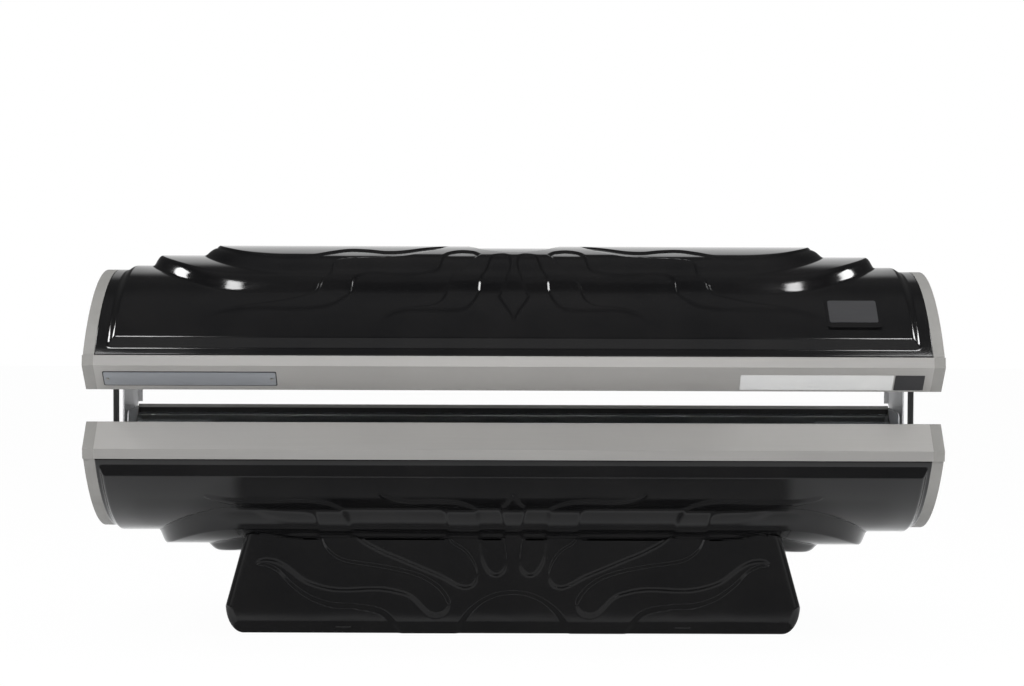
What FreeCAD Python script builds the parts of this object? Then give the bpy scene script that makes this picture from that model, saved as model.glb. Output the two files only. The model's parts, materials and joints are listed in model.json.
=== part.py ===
import FreeCAD, Part
import math
import os

import Sketcher

# Clamshell tanning bed: a bench and a canopy of the same section, hinged along the rear.
# Millimetres. +X runs along the bed, -Y is the front where the user gets in, +Z is up.
# The origin is on the floor, under the middle of the bed.

DIMENSIONS = [
    # overall form
    ("overall_length", 2210, "over the end caps"),
    ("cap_width", 29, "end cap, inner edge to outer face"),
    ("crease_half", 424, "centre line to the crease of a rail, the widest line of the bed"),
    ("arc_radius", 494, "flange of the moulded shells"),
    ("mouth_height", 575, "top of the bench rails above the floor"),
    ("mouth_gap", 84, "between the bench and canopy rails when closed"),
    # rails
    ("rail_height", 65, "mouth to crease"),
    ("rail_skirt", 26, "crease to the edge that covers the shell"),
    ("mouth_half", 360, "centre line to the outer edge of the mouth lip"),
    ("lip_width", 8, "mouth lip of a rail"),
    ("skirt_half", 420, "centre line to the lower edge of the skirt"),
    ("rail_wall", 3.5, "extrusion wall"),
    ("rail_inner_height", 34, "inner flange that carries the gasket"),
    ("rail_foot_half", 394, "centre line to the toe of the foot flange"),
    # moulded shells
    ("shell_wall", 4, "vacuum-formed sheet"),
    ("flange_width", 27, "flat flange at each end of a shell"),
    ("field_step", 11.5, "field above the flange"),
    ("field_ramp", 25, "length of the end ramp from flange to field"),
    ("field_half", 390, "centre line to the long edge of the field"),
    ("terrace_one_step", 28, "first terrace above the field"),
    ("terrace_two_step", 22, "second terrace above the first"),
    ("terrace_one_draft", 30, "slope of the first terrace's wall, degrees"),
    ("terrace_two_draft", 41, "slope of the second terrace's wall, degrees"),
    ("terrace_clear", 40, "drafted blocks stand clear of the form by this much"),
    ("terrace_depth", 180, "height of a drafted block"),
    ("bench_one_length", 963, "bench, first terrace: centre to tip"),
    ("bench_one_width", 210, "bench, first terrace: centre to straight edge"),
    ("bench_one_straight", 720, "bench, first terrace: centre to end of straight edge"),
    ("bench_one_nose", 147, "bench, first terrace: radius of the tip"),
    ("bench_two_length", 833, "bench, second terrace"),
    ("bench_two_width", 180, ""),
    ("bench_two_straight", 480, ""),
    ("bench_two_nose", 90, ""),
    ("canopy_one_length", 978, "canopy, first terrace"),
    ("canopy_one_width", 240, ""),
    ("canopy_one_straight", 700, ""),
    ("canopy_one_nose", 168, ""),
    ("canopy_two_length", 838, "canopy, second terrace"),
    ("canopy_two_width", 202, ""),
    ("canopy_two_straight", 600, ""),
    ("canopy_two_nose", 141, ""),
    ("ray_relief", 5, "sun rays above the surface they cross"),
    ("sun_radius", 120, "sunk sun disc of the canopy"),
    # acrylic
    ("acrylic_sag", 150, "mouth plane to the lowest line of the acrylic"),
    ("acrylic_wall", 5, "acrylic sheet"),
    ("acrylic_half", 344, "centre line to the edge of the sheet"),
    ("acrylic_edge", 19, "mouth plane to the edge of the sheet"),
    ("gasket_height", 21, "rubber edge strip"),
    ("gasket_top", 9, "mouth plane to the edge strip"),
    ("gasket_depth", 12, "edge strip, rail to tunnel"),
    # lamps
    ("lamp_radius", 19, "T12 tube"),
    ("lamp_length", 1764, "between the lampholders"),
    ("lamp_gap", 10, "acrylic to tube"),
    ("lamp_wall", 1.2, "glass of the tube"),
    ("lamp_pitch", 8, "degrees between tubes about the acrylic's axis"),
    ("reflector_gap", 8, "tube to reflector"),
    ("sheet_wall", 1, "reflector and shield sheet"),
    ("holder_depth", 18, "lampholder along the tube"),
    ("holder_width", 30, "lampholder across the tube"),
    ("holder_height", 46, "lampholder, radial"),
    ("rib_wall", 2, "sheet-metal rib"),
    ("rib_spacing", 450, "between the inner ribs"),
    ("ballast_length", 230, ""),
    ("ballast_width", 60, ""),
    ("ballast_height", 42, ""),
    # ends and lift gear
    ("bulkhead_wall", 3, "steel end plate"),
    ("cap_wall", 4, "moulded end cap"),
    ("hinge_y", 345, "hinge axis behind the centre line"),
    ("hinge_z", 556, "hinge axis above the floor"),
    ("hinge_pin_radius", 6, ""),
    ("hinge_boss_radius", 14, "spacing boss of the hinge bracket"),
    ("horn_top", 567, "top of the hinge bracket above the floor"),
    ("horn_front", 168, "front edge of the hinge bracket"),
    ("bracket_wall", 4, "hinge bracket and lift arm plate"),
    ("arm_inset", 15, "outer face of the cap to the lift arm"),
    ("arm_front", 162, "front edge of the lift arm"),
    ("arm_slot_depth", 135, "depth of the slot in the canopy's end cap that the arm runs in"),
    ("spacer_radius", 9, "spacers between the canopy's end plate and the lift arm"),
    ("arm_flange", 12, "rear flange of the lift arm, turned inwards"),
    ("spring_y", 215, "gas spring behind the centre line"),
    ("spring_reach", 224, "spring stud above and below the hinge axis"),
    ("spring_stand_off", 16, "outer face of the cap to the spring's axis"),
    ("spring_tube_radius", 8.5, ""),
    ("spring_bore_radius", 7, ""),
    ("spring_tube_length", 288, ""),
    ("spring_rod_radius", 4, ""),
    ("spring_rod_length", 240, "stud to the top of the rod"),
    ("stud_radius", 5, ""),
    ("eye_radius", 9, "end fitting of a spring"),
    ("eye_width", 12, ""),
    # base
    ("base_half_top", 701, "half length of the base under the bench"),
    ("base_half_foot", 757, "half length of the base near the floor"),
    ("base_half_depth", 224, ""),
    ("base_bottom", 4, "gap between the base cover and the floor"),
    ("base_flare_height", 75, "height at which the base is longest"),
    ("base_neck_height", 270, "height at which it is base_half_top"),
    ("base_top", 335, "height of the block before it is scribed to the bench"),
    ("base_corner", 68, "rounded lower corners seen from the front"),
    ("base_edge", 24, "rounded upright edges"),
    ("base_bevel", 28, "height of the bevel along the bottom edge"),
    ("base_bevel_depth", 14, ""),
    ("base_wall", 4, ""),
    ("base_relief", 6, "sun on the front of the base"),
    ("base_sun_radius", 143, ""),
    ("base_sun_drop", 47, "centre of the sun below the floor line"),
    ("tube_size", 40, "square frame tube"),
    ("tube_wall", 2.5, ""),
    ("foot_height", 20, "floor to the underside of the frame"),
    ("foot_radius", 24, ""),
    ("foot_x", 600, ""),
    ("foot_y", 150, ""),
    ("cradle_half", 180, "half depth of a cradle plate"),
    ("cradle_wall", 5, ""),
    # cooling fans
    ("fan_x", 300, ""),
    ("fan_z", 128, ""),
    ("fan_frame", 172, "square frame of a fan"),
    ("fan_depth", 38, ""),
    ("fan_bore", 80, ""),
    ("fan_hub", 28, ""),
    ("fan_tip", 77, "radius of the blade tips"),
    ("fan_shaft", 4, ""),
    ("motor_depth", 12, ""),
    ("panel_wall", 2, "rear panel"),
    ("slot_pitch", 22, "punched slots of the rear panel"),
    ("slot_height", 8, ""),
    # stop switch
    ("switch_x", 590, ""),
    ("switch_width", 44, ""),
    ("switch_height", 15, ""),
    ("button_radius", 6, ""),
    ("button_height", 9, "stands out of its housing"),
    ("button_travel", 3, ""),
    # fits
    ("seat_gap", 0.3, "between pieces that seat on curved or loose faces"),
    ("running_fit", 0.05, "radial clearance of a pin in its bore"),
]


class Size:
    """A length with the spreadsheet expression that gives it."""

    def __init__(self, value, text):
        self.value = float(value)
        self.text = text

    def __add__(self, other):
        other = as_size(other)
        return Size(self.value + other.value, f"({self.text} + {other.text})")

    def __sub__(self, other):
        other = as_size(other)
        return Size(self.value - other.value, f"({self.text} - {other.text})")

    def __mul__(self, other):
        other = as_size(other)
        return Size(self.value * other.value, f"({self.text} * {other.text})")

    def __truediv__(self, other):
        other = as_size(other)
        return Size(self.value / other.value, f"({self.text} / {other.text})")

    def __radd__(self, other):
        return as_size(other) + self

    def __rsub__(self, other):
        return as_size(other) - self

    def __rmul__(self, other):
        return as_size(other) * self

    def __neg__(self):
        return Size(-self.value, f"(-1 * {self.text})")


def as_size(number):
    return number if isinstance(number, Size) else Size(number, f"{float(number):.6f}")


def root(size):
    return Size(math.sqrt(size.value), f"sqrt({size.text})")


def sine(angle):
    return Size(math.sin(math.radians(angle.value)), f"sin({angle.text} * 1 deg)")


def cosine(angle):
    return Size(math.cos(math.radians(angle.value)), f"cos({angle.text} * 1 deg)")


def tangent(angle):
    return sine(angle) / cosine(angle)


def other_leg(hypotenuse, leg):
    """The third side of a right-angled triangle."""
    return root(hypotenuse * hypotenuse - leg * leg)


doc = FreeCAD.newDocument("tanning_bed")
sheet = doc.addObject("Spreadsheet::Sheet", "Sizes")
for row, (name, value, note) in enumerate(DIMENSIONS, start=1):
    sheet.set(f"A{row}", name)
    sheet.set(f"B{row}", str(value))
    sheet.set(f"C{row}", note)
    sheet.setAlias(f"B{row}", name)
doc.recompute()


class Sizes:
    pass


s = Sizes()
for name, value, note in DIMENSIONS:
    setattr(s, name, Size(value, f"Sizes.{name}"))

parts = []


def finish(feature, label):
    """Names a finished sub-part and puts it on the list to write."""
    feature.Label = label
    parts.append(feature)
    return feature


def bind(thing, path, size):
    thing.setExpression(path, as_size(size).text)


# ---------------------------------------------------------------- sketches and bodies


def new_body(name):
    return doc.addObject("PartDesign::Body", name + "_body")


def plane_sketch(body, role, name, offset=0):
    sketch = body.newObject("Sketcher::SketchObject", name)
    for plane in body.Origin.OriginFeatures:
        if plane.Role == role:
            sketch.AttachmentSupport = [(plane, "")]
    sketch.MapMode = "FlatFace"
    bind(sketch, "AttachmentOffset.Base.z", offset)
    return sketch


def fix_point(sketch, geometry, position, point):
    """Ties a point of the sketch to its two coordinates."""
    for kind, size in (("DistanceX", point[0]), ("DistanceY", point[1])):
        size = as_size(size)
        number = sketch.addConstraint(
            Sketcher.Constraint(kind, -1, 1, geometry, position, size.value)
        )
        sketch.setExpression(f"Constraints[{number}]", size.text)


def arc_between(start, end, radius, centre_left):
    """The short arc from start to end whose centre lies to the left or right of the way."""
    a = FreeCAD.Vector(start[0], start[1], 0)
    b = FreeCAD.Vector(end[0], end[1], 0)
    way = b - a
    rise = math.sqrt(radius**2 - (way.Length / 2) ** 2)
    left = FreeCAD.Vector(-way.y, way.x, 0).normalize()
    centre = (a + b) / 2 + left * rise * (1 if centre_left else -1)
    first, last = (a, b) if centre_left else (b, a)
    begin = math.atan2(first.y - centre.y, first.x - centre.x)
    finish_angle = math.atan2(last.y - centre.y, last.x - centre.x)
    if finish_angle < begin:
        finish_angle += 2 * math.pi
    circle = Part.Circle(centre, FreeCAD.Vector(0, 0, 1), radius)
    return Part.ArcOfCircle(circle, begin, finish_angle)


def add_outline(sketch, points, arcs=None):
    """A closed outline. arcs: edge number to (radius, centre on the left of the way)."""
    arcs = arcs or {}
    numbers = []
    for i, point in enumerate(points):
        start = [as_size(c).value for c in point]
        end = [as_size(c).value for c in points[(i + 1) % len(points)]]
        if i in arcs:
            radius, centre_left = arcs[i]
            curve = arc_between(start, end, as_size(radius).value, centre_left)
        else:
            curve = Part.LineSegment(FreeCAD.Vector(*start, 0), FreeCAD.Vector(*end, 0))
        numbers.append(sketch.addGeometry(curve, False))
    ends = {}
    for i in range(len(numbers)):
        clockwise = i in arcs and not arcs[i][1]
        ends[i] = (2, 1) if clockwise else (1, 2)
    count = len(numbers)
    for i, number in enumerate(numbers):
        following = (i + 1) % count
        sketch.addConstraint(
            Sketcher.Constraint(
                "Coincident", number, ends[i][1], numbers[following], ends[following][0]
            )
        )
        fix_point(sketch, number, ends[i][0], points[i])
        if i in arcs:
            radius = as_size(arcs[i][0])
            fixed = sketch.addConstraint(Sketcher.Constraint("Radius", number, radius.value))
            sketch.setExpression(f"Constraints[{fixed}]", radius.text)


def add_circle(sketch, centre, radius):
    radius = as_size(radius)
    middle = FreeCAD.Vector(as_size(centre[0]).value, as_size(centre[1]).value, 0)
    circle = Part.Circle(middle, FreeCAD.Vector(0, 0, 1), radius.value)
    number = sketch.addGeometry(circle, False)
    fix_point(sketch, number, 3, centre)
    fixed = sketch.addConstraint(Sketcher.Constraint("Radius", number, radius.value))
    sketch.setExpression(f"Constraints[{fixed}]", radius.text)


def pad(body, sketch, length, name):
    feature = body.newObject("PartDesign::Pad", name)
    feature.Profile = sketch
    bind(feature, "Length", length)
    return feature


def pocket(body, sketch, length, name, reverse=False):
    """Cuts and makes sure that something was cut."""
    before = body.Shape.Volume
    feature = body.newObject("PartDesign::Pocket", name)
    feature.Profile = sketch
    feature.Reversed = reverse
    bind(feature, "Length", length)
    doc.recompute()
    if body.Shape.Volume > before - 1e-6:
        raise RuntimeError(f"{name} cuts nothing")
    return feature


def slab(name, x_low, thickness, points, arcs=None, circles=()):
    """A plate across the bed: an outline in Y and Z, from x_low for thickness along +X."""
    body = new_body(name)
    sketch = plane_sketch(body, "YZ_Plane", name + "_outline", x_low)
    add_outline(sketch, points, arcs)
    for centre, radius in circles:
        add_circle(sketch, centre, radius)
    pad(body, sketch, thickness, name + "_pad")
    return body


def side_start(side, low, thickness):
    """The lower X of a plate that spans low..low+thickness on the +X or -X side."""
    return as_size(low) if side > 0 else -(as_size(low) + thickness)


# ---------------------------------------------------------------- primitives and booleans


def box(name, corner, size):
    thing = doc.addObject("Part::Box", name)
    for path, value in zip(("Length", "Width", "Height"), size):
        bind(thing, path, value)
    for path, value in zip("xyz", corner):
        bind(thing, f"Placement.Base.{path}", value)
    return thing


def rod(name, start, length, radius, direction, sides=0):
    """A cylinder, or a bar with flat sides, from start along +X, +Y or +Z."""
    if sides:
        thing = doc.addObject("Part::Prism", name)
        thing.Polygon = sides
        bind(thing, "Circumradius", radius)
    else:
        thing = doc.addObject("Part::Cylinder", name)
        bind(thing, "Radius", radius)
    bind(thing, "Height", length)
    turns = {"x": (FreeCAD.Vector(0, 1, 0), 90), "y": (FreeCAD.Vector(1, 0, 0), -90)}
    if direction in turns:
        thing.Placement = FreeCAD.Placement(
            FreeCAD.Vector(0, 0, 0), FreeCAD.Rotation(*turns[direction])
        )
    for path, value in zip("xyz", start):
        bind(thing, f"Placement.Base.{path}", value)
    return thing


def cone_x(name, start, length, radius_low, radius_high):
    thing = doc.addObject("Part::Cone", name)
    bind(thing, "Radius1", radius_low)
    bind(thing, "Radius2", radius_high)
    bind(thing, "Height", length)
    thing.Placement = FreeCAD.Placement(
        FreeCAD.Vector(0, 0, 0), FreeCAD.Rotation(FreeCAD.Vector(0, 1, 0), 90)
    )
    for path, value in zip("xyz", start):
        bind(thing, f"Placement.Base.{path}", value)
    return thing


def fuse(name, things):
    joined = doc.addObject("Part::MultiFuse", name)
    joined.Shapes = things
    joined.Refine = True
    return joined


def group(name, things):
    """Separate solids of one node."""
    gathered = doc.addObject("Part::Compound", name)
    gathered.Links = things
    return gathered


def cut(name, base, tool):
    result = doc.addObject("Part::Cut", name)
    result.Base = base
    result.Tool = tool
    return result


def common(name, one, two):
    result = doc.addObject("Part::Common", name)
    result.Base = one
    result.Tool = two
    return result


# ---------------------------------------------------------------- shared places

half_length = s.overall_length / 2
half_body = half_length - s.cap_width
bulkhead_outer = half_body + s.bulkhead_wall
cap_skin = half_length - s.cap_wall
axis_depth = other_leg(s.arc_radius, s.crease_half) - s.rail_height
skirt_depth = s.rail_height + s.rail_skirt
lip_half = s.mouth_half - s.lip_width
acrylic_rise = s.acrylic_sag - s.acrylic_edge
acrylic_radius = (s.acrylic_half * s.acrylic_half + acrylic_rise * acrylic_rise) / (
    2 * acrylic_rise
)
acrylic_axis = acrylic_radius - s.acrylic_sag
acrylic_outer = acrylic_radius + s.acrylic_wall
lamp_circle = acrylic_outer + s.lamp_gap + s.lamp_radius
reflector_radius = lamp_circle + s.lamp_radius + s.reflector_gap
reflector_outer = reflector_radius + s.sheet_wall
arm_outer = half_length - s.arm_inset + s.bracket_wall
arm_inner = half_length - s.arm_inset
spring_x = half_length + s.spring_stand_off
LAMPS = 10
LAMP_SIDES = 8
CAP_CHORDS = 14
RIB_CHORDS = 10
INNER_SIDES = 48


class Half:
    """The bench (opening up) or the canopy (opening down), measured from its mouth plane."""

    def __init__(self, name, mouth, up):
        self.name = name
        self.mouth = mouth
        self.up = up

    def z(self, depth):
        """Height of a line that lies depth behind the mouth plane."""
        depth = as_size(depth)
        return self.mouth - depth if self.up else self.mouth + depth

    def points(self, pairs):
        return [(y, self.z(depth)) for y, depth in pairs]

    def arc_depth(self, radius, y):
        """Depth of the shell circle of this radius at y."""
        return other_leg(as_size(radius), as_size(y)) - axis_depth

    def acrylic_depth(self, radius, y):
        return other_leg(as_size(radius), as_size(y)) - acrylic_axis

    def axis_z(self):
        return self.z(-axis_depth)

    def acrylic_axis_z(self):
        return self.z(-acrylic_axis)


bench = Half("bench", s.mouth_height, True)
canopy = Half("canopy", s.mouth_height + s.mouth_gap, False)


def chord_points(depth_at, radius, end, count):
    """Points of an arc between its ends, from +end to -end, evenly spread along it."""
    points = []
    sweep = math.radians(55)
    for number in range(1, count):
        turn = sweep * (1 - 2 * number / count)
        y = end * round(math.sin(turn) / math.sin(sweep), 4)
        points.append((y, depth_at(radius, y)))
    return points


def crescent(half, inset, chords=False):
    """Outline and arcs of an end plate, inset by this much: rails outside, acrylic inside.

    Plates and hollows that the cap hides have chords for its arcs.
    """
    slope = root(s.rail_height * s.rail_height
                 + (s.crease_half - s.mouth_half) * (s.crease_half - s.mouth_half)) / s.rail_height
    lean = (s.crease_half - s.mouth_half) / s.rail_height
    outer = s.arc_radius - inset
    inner = acrylic_radius + inset
    foot = skirt_depth - inset
    foot_half = other_leg(outer, axis_depth + foot)
    edge_half = s.acrylic_half + inset / 2
    edge = half.acrylic_depth(inner, edge_half)
    lip = inset * 3.5
    lip_low = lip_half + inset / 2
    lip_high = s.mouth_half + lip * lean - inset * slope
    right = [
        (lip_low, lip),
        (lip_high, lip),
        (s.crease_half - inset, s.rail_height),
        (s.skirt_half - inset, foot),
        (foot_half, foot),
    ]
    left = [(-y, depth) for y, depth in reversed(right)]
    if chords:
        crown = chord_points(half.arc_depth, outer, foot_half, CAP_CHORDS)
        hollow = chord_points(half.acrylic_depth, inner, edge_half, CAP_CHORDS)
        path = [(edge_half, edge)] + right + crown + left + [(-edge_half, edge)]
        return half.points(path + hollow[::-1]), {}
    path = [(edge_half, edge)] + right + left + [(-edge_half, edge)]
    arcs = {5: (outer, half.up is False), 11: (inner, half.up)}
    return half.points(path), arcs


# ---------------------------------------------------------------- moulded shells

# The edges of the sun rays are chains of straight chords from point to point.
# Canopy, in X and Y: round one quarter, from tip to valley to tip.
CANOPY_EDGES = [
    [(-290, 0), (-330, -50), (-420, -98), (-560, -145), (-690, -205)],
    [(-690, -205), (-596, -221), (-522, -203), (-450, -171), (-348, -189), (-221, -167),
     (-172, -172), (-260, -212), (-460, -220), (-490, -265), (-560, -308), (-680, -338),
     (-801, -357)],
    [(-801, -357), (-644, -345), (-492, -330), (-430, -277), (-330, -258), (-198, -235),
     (-139, -186), (-101, -207), (-127, -245), (-215, -312), (-352, -365)],
    [(-352, -365), (-250, -354), (-144, -345), (-97, -290), (-71, -238), (-38, -205),
     (-12, -238), (-34, -290), (0, -369)],
]
# Bench, in X and Y: rays that come out from under the base cover and end on the field.
BENCH_RAYS = [
    [(-515, -231), (-524, -248), (-545, -262), (-620, -287), (-805, -323), (-680, -314),
     (-562, -307), (-478, -278), (-424, -231)],
    [(-176, -231), (-184, -252), (-200, -268), (-262, -292), (-351, -333), (-276, -308),
     (-190, -323), (-128, -290), (-94, -231)],
    [(-21, -231), (-27, -248), (-33, -264), (-24, -300), (0, -335), (24, -300),
     (33, -264), (27, -248), (21, -231)],
]
# Base cover, in X and Z: from the floor line round each valley, up to the bench.
BASE_EDGES = [
    [(-304, 0), (-350, 38), (-421, 57), (-500, 60), (-556, 89), (-618, 146), (-682, 175)],
    [(-682, 175), (-651, 186), (-610, 170), (-542, 129), (-450, 103), (-378, 107),
     (-310, 98), (-262, 68), (-216, 33), (-178, 52), (-186, 96), (-253, 140), (-340, 165),
     (-447, 182), (-513, 285)],
    [(-415, 285), (-330, 203), (-245, 164), (-190, 132), (-126, 108), (-94, 140),
     (-108, 183), (-136, 218), (-176, 285)],
    [(-93, 285), (-84, 190), (-62, 150), (-38, 140), (-19, 168), (-17, 205), (-25, 285)],
]


def chords_through(points):
    """Straight edges from each point to the next."""
    places = [FreeCAD.Vector(*point) for point in points]
    return [Part.makeLine(start, end) for start, end in zip(places, places[1:])]


def mirrored(points, along):
    """The same edge on the other side, in the opposite order."""
    signs = {"x": (-1, 1, 1), "y": (1, -1, 1)}[along]
    return [tuple(c * sign for c, sign in zip(p, signs)) for p in reversed(points)]


def prism(name, wires, base, height):
    """A feature of upright solids over closed wires, from base for height."""
    solids = []
    for wire in wires:
        face = Part.Face(wire)
        face.translate(FreeCAD.Vector(0, 0, base))
        solids.append(face.extrude(FreeCAD.Vector(0, 0, height)))
    feature = doc.addObject("Part::Feature", name)
    feature.Shape = solids[0].multiFuse(solids[1:]) if len(solids) > 1 else solids[0]
    return feature


def canopy_sun(base, height):
    """The whole sun on the canopy: rays to the front and the rear round a sunk disc."""
    front = [[(x, y, 0) for x, y in edge] for edge in CANOPY_EDGES]
    front += [mirrored(edge, "x") for edge in reversed(front)]
    rear = [mirrored(edge, "y") for edge in reversed(front)]
    chords = [chord for edge in front + rear for chord in chords_through(edge)]
    rays = prism("canopy_rays", [Part.Wire(chords)], base, height)
    disc = rod("canopy_disc", (0, 0, base), height, s.sun_radius, "z")
    return cut("canopy_sun", rays, disc)


def bench_sun(base, height):
    """The rays that run on from the front of the base cover."""
    wires = []
    for ray in BENCH_RAYS:
        path = [(x, y, 0) for x, y in ray]
        copies = [path]
        if path[0][0] + path[-1][0] != 0:
            copies.append(mirrored(path, "x"))
        for copy in copies:
            closing = Part.makeLine(FreeCAD.Vector(*copy[-1]), FreeCAD.Vector(*copy[0]))
            wires.append(Part.Wire(chords_through(copy) + [closing]))
    return prism("bench_rays", wires, base, height)


def terrace_outline(name, length, width, straight, nose, inset):
    """Plan of a terrace: straight edges, then two tangent arcs round to the tip."""
    sketch = doc.addObject("Sketcher::SketchObject", name)
    nose_centre = length - nose
    run = nose_centre - straight
    sweep = (run * run + width * width - nose * nose) / (2 * (width - nose))
    drop = sweep - width
    reach = sweep - nose
    shoulder = nose_centre + (nose - inset) * run / reach
    blunt = (nose - inset) * drop / reach
    edge = width - inset
    points = [
        (-straight, -edge),
        (straight, -edge),
        (shoulder, -blunt),
        (shoulder, blunt),
        (straight, edge),
        (-straight, edge),
        (-shoulder, blunt),
        (-shoulder, -blunt),
    ]
    arcs = {number: (sweep - inset, True) for number in (1, 3, 5, 7)}
    arcs[2] = (nose - inset, True)
    arcs[6] = (nose - inset, True)
    add_outline(sketch, points, arcs)
    return sketch


def terrace(half, name, radius, plan, level, draft, offset, sides):
    """A terrace: a drafted block over its outline, topped by the shell's cylinder."""
    inset = s.terrace_clear * tangent(draft) - offset / cosine(draft)
    outline = terrace_outline(name + "_outline", *plan, inset)
    bind(outline, "Placement.Base.z", half.z(level + s.terrace_clear))
    block = doc.addObject("Part::Extrusion", name + "_block")
    block.Base = outline
    block.DirMode = "Custom"
    block.Dir = FreeCAD.Vector(0, 0, 1 if half.up else -1)
    block.Solid = True
    bind(block, "LengthFwd", s.terrace_depth)
    bind(block, "TaperAngle", draft)
    drum = rod(name + "_drum", (-half_body, 0, half.axis_z()), half_body * 2, radius, "x",
               sides)
    return common(name, drum, block)


def shell_form(half, tag, offset, sides=0):
    """The moulded form with every face moved outwards by offset.

    With sides, the form is the hidden inner one: its drums have flats and no end ramps.
    """
    offset = as_size(offset)
    name = f"{half.name}_{tag}"
    band = s.arc_radius + offset
    field = band + s.field_step
    first = field + s.terrace_one_step
    second = first + s.terrace_two_step
    ramp_foot = half_body - s.flange_width + offset / 2
    ramp_head = ramp_foot - s.field_ramp
    axis = half.axis_z()
    drum = rod(name + "_band", (-half_body, 0, axis), half_body * 2, band, "x", sides)
    whole = rod(name + "_middle", (-ramp_head, 0, axis), ramp_head * 2, field, "x", sides)
    if not sides:
        low_ramp = cone_x(name + "_low_ramp", (-ramp_foot, 0, axis), s.field_ramp, band, field)
        high_ramp = cone_x(name + "_high_ramp", (ramp_head, 0, axis), s.field_ramp, field, band)
        whole = fuse(name + "_whole_field", [whole, low_ramp, high_ramp])
    edge = s.field_half + offset
    limit = box(
        name + "_field_limit",
        (-half_body, -edge, axis - s.arc_radius * 2),
        (half_body * 2, edge * 2, s.arc_radius * 4),
    )
    raised = common(name + "_field", whole, limit)
    level_one = s.arc_radius + s.field_step - axis_depth
    level_two = level_one + s.terrace_one_step
    steps = []
    for word, radius, level, draft in (
        ("one", first, level_one, s.terrace_one_draft),
        ("two", second, level_two, s.terrace_two_draft),
    ):
        plan = [getattr(s, f"{half.name}_{word}_{part}")
                for part in ("length", "width", "straight", "nose")]
        steps.append(terrace(half, f"{name}_terrace_{word}", radius, plan, level, draft, offset,
                             sides))
    return fuse(name + "_form", [drum, raised] + steps)


def make_shell(half):
    """A vacuum-formed shell: the outer form with its rays, less the form inside the wall."""
    name = half.name
    outer = shell_form(half, "outer", 0)
    lifted = shell_form(half, "lifted", s.ray_relief)
    inner = shell_form(half, "inner", -s.shell_wall, sides=INNER_SIDES)
    reach = s.arc_radius.value
    if half.up:
        rays = bench_sun(half.axis_z().value - 2 * reach, 2 * reach)
    else:
        rays = canopy_sun(half.axis_z().value, 2 * reach)
    relief = common(name + "_relief", lifted, rays)
    solid = fuse(name + "_solid", [outer, relief])
    skin = cut(name + "_skin", solid, inner)
    edge = skirt_depth + s.seat_gap
    far = s.arc_radius
    low = half.z(far) if half.up else half.z(edge)
    keep = box(
        name + "_keep",
        (-half_body, -s.arc_radius, low),
        (half_body * 2, s.arc_radius * 2, far - edge),
    )
    return finish(common(name + "_shell_solid", skin, keep), name + "_shell")


# ---------------------------------------------------------------- rails, acrylic, gaskets


def rail_points(half, side):
    """Extruded rail section: mouth lip, sloping face, crease, skirt and foot flange."""
    wall = s.rail_wall
    lean = (s.crease_half - s.mouth_half) / s.rail_height
    slope = root(lean * lean + 1)
    inner_lip = s.mouth_half + wall * lean - wall * slope
    crease_inner = s.crease_half - wall
    crease_depth = s.rail_height + (crease_inner - (s.crease_half - wall * slope)) / lean
    pairs = [
        (lip_half, 0),
        (s.mouth_half, 0),
        (s.crease_half, s.rail_height),
        (s.skirt_half, skirt_depth),
        (s.rail_foot_half, skirt_depth),
        (s.rail_foot_half, skirt_depth - wall),
        (s.skirt_half - wall, skirt_depth - wall),
        (crease_inner, crease_depth),
        (inner_lip, wall),
        (lip_half + wall, wall),
        (lip_half + wall, s.rail_inner_height),
        (lip_half, s.rail_inner_height),
    ]
    return half.points([(y * side, depth) for y, depth in pairs])


def make_rails(half):
    for side, word in ((-1, "front"), (1, "rear")):
        name = f"{half.name}_{word}_rail"
        finish(slab(name, -half_body, half_body * 2, rail_points(half, side)), name)


def arc_sheet(half, name, x_low, length, radius, wall, half_width):
    """A curved sheet about the acrylic's axis."""
    outer = radius + wall
    outer_half = half_width * outer / radius
    inner_depth = half.acrylic_depth(radius, half_width)
    outer_depth = half.acrylic_depth(outer, outer_half)
    points = half.points([
        (-half_width, inner_depth),
        (half_width, inner_depth),
        (outer_half, outer_depth),
        (-outer_half, outer_depth),
    ])
    arcs = {0: (radius, half.up), 2: (outer, not half.up)}
    return slab(name, x_low, length, points, arcs)


def make_acrylic(half):
    name = half.name
    sheet_body = arc_sheet(
        half, name + "_acrylic", -half_body, half_body * 2,
        acrylic_radius, s.acrylic_wall, s.acrylic_half,
    )
    finish(sheet_body, name + "_acrylic")
    strips = []
    for side, word in ((-1, "front"), (1, "rear")):
        near = s.gasket_top
        far = s.gasket_top + s.gasket_height
        inner = lip_half - s.gasket_depth
        low = far if half.up else near
        corner_y = inner if side > 0 else -lip_half
        strips.append(box(
            f"{name}_{word}_strip",
            (-half_body, corner_y, half.z(low)),
            (half_body * 2, s.gasket_depth, s.gasket_height),
        ))
    groove = arc_sheet(
        half, name + "_groove", -half_body - 1, half_body * 2 + 2,
        acrylic_radius - s.seat_gap, s.acrylic_wall + s.seat_gap * 2,
        s.acrylic_half + s.seat_gap,
    )
    gaskets = cut(name + "_gaskets", group(name + "_strips", strips), groove)
    if not half.up:
        room = box(
            "switch_room",
            (s.switch_x - s.seat_gap, -lip_half, half.z(0)),
            (s.switch_width + s.seat_gap * 2, s.gasket_depth + 2, s.rail_height),
        )
        gaskets = cut(name + "_gaskets_cut", gaskets, room)
    finish(gaskets, name + "_acrylic_gaskets")


# ---------------------------------------------------------------- lamp deck


def lamp_places(half):
    """Centre of each tube in Y and Z, and its angle from the middle in degrees."""
    places = []
    for number in range(LAMPS):
        angle = s.lamp_pitch * (number - (LAMPS - 1) / 2)
        y = lamp_circle * sine(angle)
        depth = lamp_circle * cosine(angle) - acrylic_axis
        places.append((y, half.z(depth), angle))
    return places


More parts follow.
